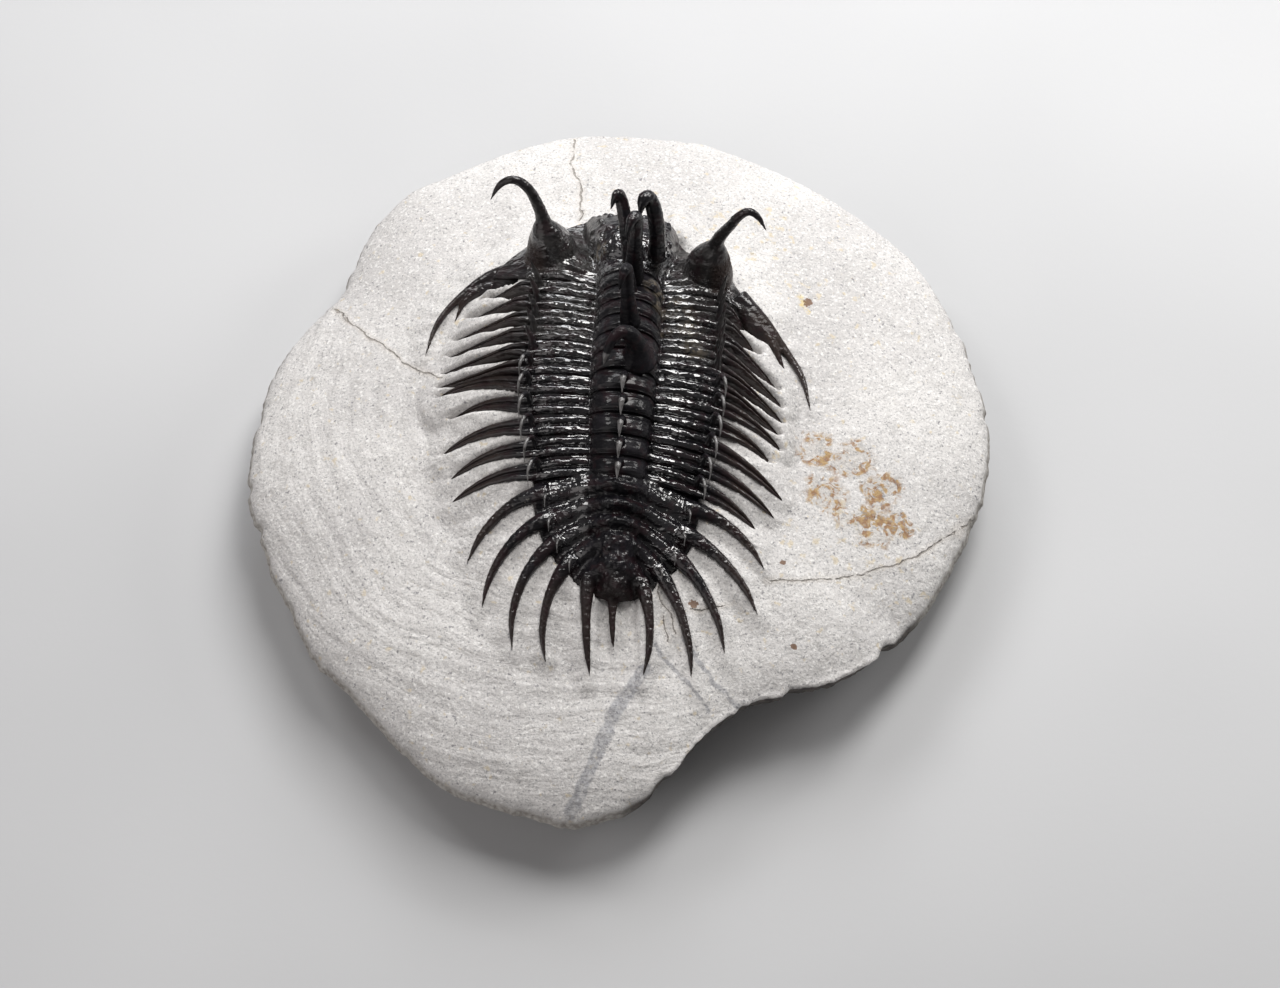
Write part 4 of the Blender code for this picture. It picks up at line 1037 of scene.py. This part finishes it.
def cephalon_skin():
    """Head shield without its towers and spines."""
    skin = Skin()
    lines = []
    for row in range(HEAD_ROWS + 1):
        line = []
        for column in range(HEAD_COLUMNS + 1):
            x, y = head_plan(row / HEAD_ROWS, 2.0 * column / HEAD_COLUMNS - 1.0)
            line.append(place(x, y, head_height(x, y) + back_folds(x, y)))
        lines.append(line)
    close_shield(skin, skin.sheet(lines), HEAD_COLUMNS + 1, 1, HEAD_EDGE, Vector(HEAD_UNDERSIDE))
    return skin


def add_head_spines(skin, spines):
    for k, way in enumerate(spines):
        made = EYE_TUBE if way in FREE_SPINES[:2] else HEAD_TUBE
        swell = OCCIPITAL_SWELL if way in FREE_SPINES[2:4] else 1.0
        skin.spine(way, made, HEAD_SEED + k, swell=swell)


def on_horn(p):
    """Whether a point of the head lies on a horn, an occipital spine or a cheek spine."""
    side = abs(p.x)
    wing = side > 16.0 and p.y < 25.5 and p.z < 25.5 - 0.1 * p.x
    return p.z > 31.5 or (side > 9.0 and p.z > 29.0 - 0.17 * p.x) or side > 19.0 or wing


def cephalon_relief(p, n):
    lobe = smooth((8.0 - abs(p.x)) / 2.0) * smooth((p.y - 25.5) / 2.0) * smooth((30.6 - p.z) / 0.8)
    fine = lumps(p, HEAD_GRAIN) * (1.0 - 0.55 * smooth((abs(p.x) - 15.0) / 3.0))
    return (fine + 0.5 * lobe * tubercle(p, 1.6)) * smooth((n.z + 0.5) / 0.5)


def slab_middle():
    """Middle of the box round the solid slab's outline, which lies at the frame's origin."""
    spokes = [2.0 * pi * k / SLAB_SPOKES for k in range(SLAB_SPOKES)]
    xs = [cos(a) * outline_radius(degrees(a)) for a in spokes]
    ys = [sin(a) * outline_radius(degrees(a)) for a in spokes]
    return (max(xs) + min(xs)) / 2.0, (max(ys) + min(ys)) / 2.0


MIDDLE_X, MIDDLE_Y = slab_middle()


def rim_point(angle):
    """Rim of the slab at an angle in radians, with its chipped edge."""
    out = Vector((cos(angle), sin(angle), 0.0))
    ragged = lumps(out, RIM_GRAIN)
    chip = max(0.0, lumps(out, RIM_CHIPS) - 0.25) * 3.0
    radius = outline_radius(degrees(angle) % 360.0)
    radius -= 0.5 + max(-0.5, ragged) * 0.8 + chip * 0.6
    return cos(angle) * radius - MIDDLE_X, sin(angle) * radius - MIDDLE_Y


def rock_plan():
    """Plan and bare height of the rock's grid, squares that turn into the outline towards the rim."""
    made = []
    for j in range(ROCK_CELLS + 1):
        for i in range(ROCK_CELLS + 1):
            u, v = 2.0 * i / ROCK_CELLS - 1.0, 2.0 * j / ROCK_CELLS - 1.0
            if abs(u) > abs(v):
                angle = pi / 4.0 * v / u + (pi if u < 0.0 else 0.0)
            else:
                angle = pi / 2.0 - pi / 4.0 * u / (v or 1.0) + (pi if v < 0.0 else 0.0)
            spread = max(abs(u), abs(v))
            share = spread * (0.66 + 0.34 * spread * spread)
            x, y = (edge * share for edge in rim_point(angle))
            broken = in_break(degrees(angle) % 360.0)
            z = RIM_HEIGHT + BREAK_RIM_RISE * broken if share >= 1.0 else rock_height(x, y)
            z += broken * max(0.0, BREAK_LEVEL - z)
            made.append(Vector((x, y, z + lumps(Vector((x, y, 0.0)), ROCK_GRAIN))))
    return made


def within(p, half):
    return abs(p.x) < half[0] and abs(p.y) < half[1]


def settled(grid, supports):
    """Raises the rock's grid to the shells from below and fills the gaps beside them."""
    tree = BVHTree.FromPolygons(supports.points, supports.faces)
    held = []
    for p in grid:
        hit = None
        if within(p, HELD_HALF):
            hit = tree.ray_cast(Vector((p.x, p.y, 2.0)), Vector((0.0, 0.0, 1.0)))[0]
        held.append(hit.z if hit is not None else None)
    levels = [z for z in held if z is not None]
    footprint = kdtree.KDTree(len(levels))
    for k, p in enumerate(p for p, z in zip(grid, held) if z is not None):
        footprint.insert(Vector((p.x, p.y, 0.0)), k)
    footprint.balance()
    for p, z in zip(grid, held):
        side = off_axis(p.x, p.y)
        inside = side < read_curve(BODY_HALF, p.y)
        if z is not None:
            p.z = max(p.z, z + (UNDER_BODY if inside else UNDER_SPINES))
        elif within(p, FILL_HALF):
            front = smooth((p.y - 1.0) / 4.0) * smooth((side - 17.0) / 3.0) * smooth((27.0 - side) / 4.0)
            lift = BESIDE_BODY if inside else BESIDE_SPINES + FRONT_FILL * front
            steep = FILL_STEEP - FRONT_FILL * front
            raised = p.z
            for _, index, distance in footprint.find_range(Vector((p.x, p.y, 0.0)), FILL_REACH):
                raised = max(raised, levels[index] + lift - steep * max(0.0, distance - 0.15))
            if raised > p.z:
                p.z = raised + 0.05 * ripple(p.x / 0.9, p.y / 0.9, 0.0, 43.0)
    size = ROCK_CELLS + 1
    free = np.array([z is None and within(p, EASE_HALF) for p, z in zip(grid, held)])
    free = free.reshape(size, size)[1:-1, 1:-1]
    level = np.array([p.z for p in grid]).reshape(size, size)
    for _ in range(EASE_PASSES):
        beside = level[:-2, 1:-1] + level[2:, 1:-1] + level[1:-1, :-2] + level[1:-1, 2:]
        level[1:-1, 1:-1] = np.where(free, 0.4 * level[1:-1, 1:-1] + 0.15 * beside, level[1:-1, 1:-1])
    for p, z in zip(grid, level.ravel()):
        p.z = z
    return [grid[j * size:(j + 1) * size] for j in range(size)]


def matrix_skin(supports):
    """The rock: domed top that closes on the fossil from below, ragged rim, side and flat base."""
    skin = Skin()
    above = loop = skin.sheet(settled(rock_plan(), supports))
    profile = [Vector((share, level, 0.0)) for share, level in ((1.0, 1.0), *UNDERSIDE)]
    for step in range(1, SIDE_RINGS + 1):
        at = step / SIDE_RINGS
        share, level, _ = spline_point(profile, at)
        ring = []
        for index in loop:
            x, y, z = skin.points[index]
            bump = 0.5 * ripple(x / 3.0, y / 3.0, level * 3.0, 50.0)
            bump += 0.3 * ripple(x / 1.2, y / 1.2, level * 8.0, 51.0) - 0.25
            out = Vector((x, y, 0.0)).normalized() * bump * 4.0 * at * (1.0 - at)
            ring.append(Vector((x * share, y * share, max(0.0, level) * z)) + out)
        below = skin.add(ring)
        skin.bridge(above, below)
        above = below
    for index in above:
        skin.points[index].z = 0.0
    skin.fan(above, Vector())
    return skin


class Shader:
    """Short way to write a node material, with its colour laid on in layers."""

    def __init__(self, name):
        self.material = bpy.data.materials.new(name)
        self.material.use_nodes = True
        self.tree = self.material.node_tree
        self.colour = None
        self.place = self.vector("SCALE", self.node("TexCoord", {}).outputs["Object"], None, 1.0 / MM)

    def fill(self, node, inputs):
        """Gives a node its inputs: numbers, tuples, sockets, or None to leave one alone."""
        for name, value in inputs.items():
            if isinstance(value, (int, float, tuple)):
                node.inputs[name].default_value = value
            elif value is not None:
                self.tree.links.new(value, node.inputs[name])

    def node(self, kind, inputs, **settings):
        node = self.tree.nodes.new("ShaderNode" + kind)
        for name, value in settings.items():
            setattr(node, name, value)
        self.fill(node, inputs)
        return node

    def vector(self, operation, a, b=None, scale=None):
        node = self.node("VectorMath", {0: a, 1: b, "Scale": scale}, operation=operation)
        return node.outputs["Value" if operation in ("DOT_PRODUCT", "LENGTH", "DISTANCE") else 0]

    def math(self, operation, a, b=0.0, clamp=False):
        return self.node("Math", {0: a, 1: b}, operation=operation, use_clamp=clamp).outputs[0]

    def chain(self, operation, first, *others):
        for other in others:
            first = self.math(operation, first, other)
        return first

    times = partialmethod(chain, "MULTIPLY")
    plus = partialmethod(chain, "ADD")
    minus = partialmethod(chain, "SUBTRACT")
    most = partialmethod(chain, "MAXIMUM")
    least = partialmethod(chain, "MINIMUM")

    def noise(self, scale, detail=3.0, at=None, distortion=0.0, roughness=0.5):
        """Noise at the place, at an offset from it given as a tuple, or at another vector."""
        if isinstance(at, tuple):
            at = self.vector("ADD", self.place, at)
        return self.node("TexNoise", {
            "Vector": at or self.place, "Scale": scale, "Detail": detail, "Roughness": roughness,
            "Distortion": distortion,
        }).outputs["Fac"]

    def ramp(self, value, low, high, to_low=0.0, to_high=1.0, kind="SMOOTHSTEP"):
        return self.node("MapRange", {
            "Value": value, "From Min": low, "From Max": high, "To Min": to_low, "To Max": to_high,
        }, interpolation_type=kind).outputs[0]

    def line(self, value, low, high, to_low, to_high):
        return self.ramp(value, low, high, to_low, to_high, "LINEAR")

    def less(self, mask, to):
        """One outside a mask and a smaller value inside it."""
        return self.line(mask, 0.0, 1.0, 1.0, to)

    def mix(self, amount, a, b):
        a, b = ((*tone, 1.0) if isinstance(tone, tuple) else tone for tone in (a, b))
        return self.node("Mix", {0: amount, 6: a, 7: b}, data_type="RGBA").outputs[2]

    def layer(self, tone, *masks):
        """Lays a tone over the colour, as much as the product of its masks says."""
        self.colour = self.mix(self.times(*masks), self.colour, tone)

    def parts(self, vector):
        return tuple(self.node("SeparateXYZ", {0: vector}).outputs)

    def joined(self, x, y, z):
        return self.node("CombineXYZ", {0: x, 1: y, 2: z}).outputs[0]

    def bumps(self, normal, *layers):
        """Bumps of (height, distance, strength) over one another and over a normal."""
        for height, distance, strength in layers:
            normal = self.node("Bump", {
                "Height": height, "Distance": distance * MM, "Strength": strength, "Normal": normal,
            }).outputs[0]
        return normal

    def path_distance(self, at, points):
        """Distance in plan from a chain of straight lines."""
        gaps = []
        for (x0, y0), (x1, y1) in zip(points, points[1:]):
            run = (x1 - x0, y1 - y0, 0.0)
            long = run[0] ** 2 + run[1] ** 2
            from_start = self.vector("SUBTRACT", at, (x0, y0, 0.0))
            share = self.math("MULTIPLY", self.vector("DOT_PRODUCT", from_start, run), 1.0 / long, True)
            foot = self.vector("SCALE", run, None, share)
            gaps.append(self.vector("LENGTH", self.vector("SUBTRACT", from_start, foot)))
        return self.least(*gaps)

    def spots(self, at, places_at):
        """One at each spot, fading to zero at its radius."""
        return self.most(*(
            self.ramp(self.vector("DISTANCE", at, (x, y, 0.0)), radius, radius * 0.25)
            for x, y, radius in places_at
        ))

    def finish(self, inputs):
        """Puts the colour and the other inputs on the surface and gives the material."""
        self.fill(self.tree.nodes["Principled BSDF"], {"Base Color": self.colour, **inputs})
        return self.material


def limestone_material():
    """Pale grey limestone with fine dark specks, yellowish flecks, rust, veins and thin cracks."""
    s = Shader("limestone")
    x, y, z = s.parts(s.place)
    flat = s.joined(x, y, 0.0)
    wander = (s.line(s.noise(0.35, 4.0, at), 0.25, 0.75, -1.3, 1.3) for at in (None, (31.0, 17.0, 5.0)))
    shift = s.joined(*wander, 0.0)
    wavy = s.vector("ADD", flat, shift)
    straighter, straightest = (
        s.vector("ADD", flat, s.vector("SCALE", shift, None, share)) for share in (0.4, 0.3)
    )

    # The pale ground, its mottling, grains, specks and flecks
    s.colour = s.mix(s.ramp(s.noise(0.05), 0.35, 0.68), (0.56, 0.543, 0.535), (0.67, 0.653, 0.64))
    mottle = s.noise(0.45, 5.0, None, 0.4, 0.6)
    grain = s.noise(3.2, 3.0, None, 0.0, 0.7)
    flecked = s.ramp(s.spots(flat, FLECK_SPOTS), 0.0, 0.6, 0.0, 0.07)
    for pattern, low, high, amount, tone in (
        (mottle, 0.42, 0.72, 0.45, (0.46, 0.445, 0.43)),
        (grain, 0.48, 0.72, 0.75, (0.25, 0.255, 0.265)),
        (s.noise(2.1, 2.0, (9.0, 3.0, 1.0)), 0.52, 0.7, 0.6, (0.84, 0.83, 0.81)),
        (s.noise(1.9, 2.0, (2.0, 41.0, 1.0)), 0.63, 0.72, 0.7, (0.15, 0.15, 0.165)),
        (s.plus(s.noise(0.7, 3.0, (77.0, 4.0, 8.0)), flecked), 0.64, 0.74, 0.5, (0.6, 0.49, 0.3)),
    ):
        s.layer(tone, s.ramp(pattern, low, high, 0.0, amount))

    # The arcs that the tool left towards the lower left
    low_left = s.plus(x, s.times(y, 0.8))
    drift = s.times(s.noise(0.05, 1.0, (17.0, 40.0, 3.0)), 6.0)
    radial = s.plus(s.vector("DISTANCE", flat, TOOL_CENTRE), drift)
    arcs = s.times(s.math("SINE", s.times(radial, 1.7)), s.ramp(low_left, -16.0, -34.0))
    s.layer((0.3, 0.285, 0.28), s.ramp(arcs, 0.1, 0.9, 0.0, 0.11))

    # Rust patch, small yellow and brown spots
    near_rust = s.spots(wavy, RUST_SPOTS)
    rust_net = s.ramp(s.noise(0.62, 6.0, None, 0.7, 0.62), 0.47, 0.57)
    rust_tone = s.mix(s.ramp(s.noise(1.1), 0.4, 0.6), (0.4, 0.25, 0.09), (0.24, 0.11, 0.03))
    blue = s.ramp(s.noise(1.5, 4.0, (4.0, 9.0, 2.0)), 0.55, 0.68)
    jagged = s.ramp(s.noise(1.4, 3.0, (61.0, 2.0, 7.0)), 0.4, 0.6)
    brown = s.spots(straightest, BROWN_SPOTS)
    ragged = s.times(s.minus(s.noise(1.9, 4.0, None, 0.5, 0.6), 0.5), 2.4)
    s.layer((0.42, 0.38, 0.33), s.ramp(near_rust, 0.1, 0.8), 0.3)
    s.layer(rust_tone, s.ramp(near_rust, 0.1, 0.6), rust_net, 0.85)
    s.layer((0.24, 0.245, 0.27), near_rust, blue, 0.6)
    s.layer((0.7, 0.52, 0.14), s.spots(wavy, YELLOW_SPOTS), jagged, 0.55)
    s.layer((0.15, 0.07, 0.03), s.ramp(s.plus(brown, ragged), 0.4, 0.62), s.ramp(brown, 0.0, 0.2), 0.85)

    # Veins and cracks
    vein = s.most(*(s.ramp(s.path_distance(straighter, path), outer, inner) for path, outer, inner in VEINS))
    uneven = s.ramp(s.noise(1.0, 5.0, (6.0, 1.0, 12.0)), 0.3, 0.55, 0.35, 1.0)
    vein_mottle = s.ramp(s.noise(1.6, 4.0, None, 0.3, 0.6), 0.42, 0.62)
    vein_tone = s.mix(vein_mottle, (0.3, 0.305, 0.33), (0.14, 0.142, 0.16))
    s.layer(vein_tone, vein, uneven, 0.64)
    crack_gap = s.least(
        *(s.path_distance(straighter, path) for path in CRACKS),
        *(s.plus(s.path_distance(straighter, path), 0.05) for path in HAIR_CRACKS),
    )
    broken = s.ramp(s.noise(0.5, 4.0, (5.0, 5.0, 50.0)), 0.35, 0.5)
    crack = s.times(s.ramp(crack_gap, 0.18, 0.07), broken)
    s.layer((0.15, 0.135, 0.12), crack, 0.62)
    s.layer((0.5, 0.42, 0.32), s.ramp(crack_gap, 1.0, 0.1), 0.15)

    # The rough wall of the rim in a darker grey, with painted shade, nearly black, on the wall at the break
    up = s.parts(s.node("NewGeometry", {}).outputs["Normal"])[2]
    at_break = s.ramp(s.vector("DISTANCE", flat, BREAK_PLACE), 30.0, 25.0)
    low = s.ramp(s.minus(z, s.times(at_break, 1.8)), 13.2, 11.6)
    # Painted shade: a nearly black tone laid on the wall at the break
    break_shade_tone = s.mix(s.ramp(s.noise(0.9, 5.0), 0.4, 0.62), (0.02, 0.016, 0.014), (0.09, 0.075, 0.065))
    wall_tone = s.mix(s.ramp(s.noise(1.6, 5.0), 0.3, 0.7), (0.22, 0.2, 0.18), (0.47, 0.45, 0.42))
    s.layer(s.mix(at_break, wall_tone, break_shade_tone), s.ramp(up, 0.6, 0.25), low, 0.92)

    # Relief, with the tool's strokes
    centre_x, centre_y, _ = TOOL_CENTRE
    turned = s.math("ARCTAN2", s.minus(centre_y, y), s.minus(centre_x, x))
    strokes = s.noise(0.4, 3.0, s.joined(radial, s.times(turned, 11.0), 0.0), 0.25)
    worked = s.ramp(low_left, -8.0, -30.0)
    pits = s.noise(1.3, 4.0, None, 0.2, 0.6)
    normal = s.bumps(
        None, (s.times(mottle, s.less(worked, 0.75)), 0.5, 0.7), (s.times(strokes, worked), 0.85, 0.7),
        (arcs, 0.06, 0.5), (crack, -0.5, 0.8), (pits, 0.22, 0.8), (grain, 0.09, 0.8),
    )
    roughness = s.line(grain, 0.3, 0.7, 0.78, 0.95)
    return s.finish({"Roughness": roughness, "Specular IOR Level": 0.3, "Normal": normal})


def shell_material(name, coat, dullness):
    """Black glossy shell with a lacquered, finely broken surface, browner to the sides."""
    s = Shader(name)
    x, y, z = s.parts(s.place)
    flat = s.joined(x, y, 0.0)
    side = s.math("ABSOLUTE", x)
    axis_gap = s.math("ABSOLUTE", s.minus(x, AXIS_PLACE))

    # Black ground, brown side spines and tail, scuffs, dust and specks
    cloud = s.noise(0.22, 4.0, None, 0.3, 0.6)
    fine = s.noise(2.6, 4.0, None, 0.2, 0.65)
    s.colour = s.mix(s.ramp(cloud, 0.4, 0.7), (0.0032, 0.0028, 0.0042), (0.011, 0.0095, 0.0125))
    brown = s.times(
        s.ramp(side, 13.5, 19.0), s.ramp(s.noise(0.3), 0.25, 0.5, 0.35, 1.0), s.ramp(y, 22.0, 19.0, 0.3, 1.0),
    )
    s.layer((0.026, 0.017, 0.0145), s.most(brown, s.times(s.ramp(y, -24.0, -30.0), 0.7)), 0.9)
    s.layer((0.16, 0.15, 0.145), s.ramp(fine, 0.58, 0.74), s.ramp(cloud, 0.35, 0.6), 0.1)
    dusty = s.times(s.spots(flat, DUST_SPOTS), s.ramp(s.noise(0.9, 5.0, None, 0.6), 0.42, 0.62))
    s.layer((0.2, 0.165, 0.12), dusty, 0.62)
    s.layer((0.4, 0.36, 0.31), s.ramp(s.noise(1.7, 2.0, (12.0, 2.0, 31.0)), 0.7, 0.78, 0.0, 0.3))

    # Greyish dust film on the front ribs, lightened further as a painted sheen for the light their steeper
    # faces reflect, the brown eye surfaces and a maroon cast
    front_plates = s.times(s.ramp(y, 6.0, 11.0), s.ramp(axis_gap, 4.6, 6.0))
    # Partly real dust film and partly painted sheen on the front ribs
    dust_film_and_sheen = s.ramp(s.noise(0.4, 4.0, None, 0.4, 0.6), 0.35, 0.6, 0.35, 1.0)
    s.layer((0.06, 0.056, 0.052), front_plates, dust_film_and_sheen, s.ramp(side, 17.0, 14.0), 0.4)
    lens = s.most(*(
        s.times(
            s.ramp(s.vector("DISTANCE", s.place, eye), 4.9, 4.0),
            s.ramp(s.times(s.minus(x, eye[0]), outward), -0.3, 1.2),
        )
        for eye, outward in EYES
    ))
    s.layer((0.035, 0.021, 0.017), lens, 0.75)
    s.layer((0.017, 0.0065, 0.0085), s.ramp(s.noise(0.5, 2.0, (3.0, 8.0, 2.0)), 0.5, 0.62), 0.55)

    # The lacquer is thin on the axis, the front of the head, the eyes and one calm patch of the right cheek
    beside = s.most(s.ramp(axis_gap, 3.2, 5.6), s.ramp(y, 20.0, 23.0))
    front_slope = s.times(s.ramp(y, 28.5, 31.5), s.ramp(z, 31.5, 30.0))
    calm = s.ramp(s.vector("DISTANCE", flat, CALM_PLACE), 6.5, 4.0)
    lacquer = s.line(beside, 0.0, 1.0, 0.16 * coat, coat)
    lacquer = s.times(lacquer, s.less(front_slope, 0.4), s.less(calm, 0.3), s.less(lens, 0.2))
    rough = s.plus(
        s.line(fine, 0.35, 0.7, 0.26 + dullness, 0.46 + dullness), s.times(dusty, 0.3),
        s.line(beside, 0.0, 1.0, 0.1, 0.0), s.times(calm, 0.16),
    )
    rough = s.math("ADD", rough, s.times(lens, 0.25), True)

    # Wrinkles that run along the ribs, calmer on the glabella and the rear ribs, and the lenses' pits
    along_ribs = s.joined(s.times(x, 0.34), s.times(y, 1.25), s.times(z, 1.25))
    on_lobe = s.times(s.ramp(y, 23.5, 26.0), s.ramp(side, 10.0, 7.0))
    lively = s.most(s.ramp(y, 3.0, 11.0, 0.55, 1.0), s.ramp(y, -11.0, -14.0))
    wrinkle = s.times(s.noise(0.95, 1.5, along_ribs, 0.5), s.less(on_lobe, 0.35), lively)
    cells = s.node("TexVoronoi", {"Vector": s.place, "Scale": 2.3}, feature="F1").outputs["Distance"]
    pits = s.times(s.ramp(cells, 0.1, 0.5), lens)
    coat_normal = s.bumps(None, (wrinkle, 0.3, 0.85), (s.noise(2.4, 1.0), 0.03, 0.8), (pits, -0.16, 0.9))
    return s.finish({
        "Roughness": rough, "Specular IOR Level": 0.14, "Coat Weight": lacquer, "Coat Roughness": 0.06,
        "Coat IOR": 1.85, "Normal": s.bumps(coat_normal, (fine, 0.08, 0.6)), "Coat Normal": coat_normal,
    })


def hook_material():
    """Thin hooked spines in a pale translucent grey, standing partly for worn tips and partly for the
    highlights along them (painted highlight).
    """
    s = Shader("hook_shell")
    s.colour = s.mix(s.ramp(s.noise(1.3), 0.35, 0.6), (0.035, 0.032, 0.031), (0.12, 0.115, 0.115))
    return s.finish({
        "Roughness": s.line(s.noise(3.0), 0.3, 0.7, 0.3, 0.5), "Specular IOR Level": 0.5, "Coat Weight": 0.6,
        "Coat Roughness": 0.12, "Normal": s.bumps(None, (s.noise(2.4), 0.06, 0.6)),
    })


def floor_material():
    s = Shader("studio_floor")
    s.colour = s.mix(s.ramp(s.noise(0.01, 2.0), 0.3, 0.7), (0.5, 0.505, 0.515), (0.54, 0.545, 0.555))
    return s.finish({"Roughness": 0.9, "Normal": s.bumps(None, (s.noise(0.8), 0.05, 0.3))})


def aimed(thing, at, toward, axis):
    """Puts a lamp or the camera at a place in millimetres and turns its axis towards a direction."""
    thing.location = at * MM
    thing.rotation_mode = "QUATERNION"
    thing.rotation_quaternion = toward.to_track_quat(axis, "Y")


def look():
    """Floor, studio light and the camera at the photograph's angle."""
    mesh = bpy.data.meshes.new("floor")
    corners = [(x * FLOOR_HALF, y * FLOOR_HALF, 0.0) for x, y in ((-1, -1), (1, -1), (1, 1), (-1, 1))]
    mesh.from_pydata(corners, [], [(0, 1, 2, 3)])
    mesh.materials.append(floor_material())
    linked("floor", mesh)

    world = bpy.data.worlds.new("studio")
    world.use_nodes = True
    background = world.node_tree.nodes["Background"].inputs
    background["Color"].default_value = (1.0, 0.98, 0.97, 1.0)
    background["Strength"].default_value = 0.12
    bpy.context.scene.world = world
    for name, at, size, watts, tint in LAMPS:
        data = bpy.data.lights.new(name, "AREA")
        data.shape = "RECTANGLE"
        data.size, data.size_y = size
        data.energy = watts
        data.color = tint
        aimed(linked(name, data), Vector(at), Vector(LAMP_TARGET) - Vector(at), "-Z")

    bpy.context.scene.view_settings.view_transform = "Standard"
    data = bpy.data.cameras.new("camera")
    data.sensor_width = 36.0
    data.lens = 73.125
    data.clip_start = 0.01
    data.clip_end = 10.0
    out = cos(CAMERA_RISE)
    back = Vector((sin(CAMERA_TURN) * out, -cos(CAMERA_TURN) * out, sin(CAMERA_RISE)))
    camera = linked("camera", data)
    aimed(camera, Vector(CAMERA_TARGET) + back * CAMERA_AWAY, back, "Z")
    bpy.context.scene.camera = camera


def kinds_by(skin, test):
    """Satin for the faces whose first point passes a test and glossy for the others."""
    skin.kinds = [SATIN if test(skin.points[face[0]]) else GLOSSY for face in skin.faces]
    return skin


def build():
    shell = [
        shell_material("glossy_shell", 1.0, 0.0), shell_material("satin_shell", 0.32, 0.08), hook_material(),
    ]
    supports = Skin()
    for number in range(1, SEGMENT_COUNT + 1):
        segment = thorax_skin(number)
        supports.take(segment.mesh("support"))
        whole = relief(segment.mesh("thorax"), segment_relief(number))
        add_segment_spines(whole, number)
        dress("thorax_shell_%02d" % number, whole, shell, "thorax_segment_%02d" % number)

    tail = pygidium_skin()
    supports.take(tail.mesh("support"))
    whole = kinds_by(relief(covered(tail, TAIL_VOXEL, 4), pygidium_relief), on_margin)
    add_rib_hooks(whole)
    dress("pygidium_shell", whole, shell, "pygidium")

    head = cephalon_skin()
    lying = Skin(head.mesh("support"))
    add_head_spines(lying, LYING_SPINES)
    supports.take(lying.mesh("support"))
    add_head_spines(head, LYING_SPINES)
    add_head_spines(head, FREE_SPINES)
    whole = kinds_by(relief(covered(head, HEAD_VOXEL, 5), cephalon_relief), on_horn)
    dress("cephalon_shell", whole, shell, "cephalon")

    dress("matrix_rock", matrix_skin(supports), [limestone_material()], "matrix")
    look()


build()
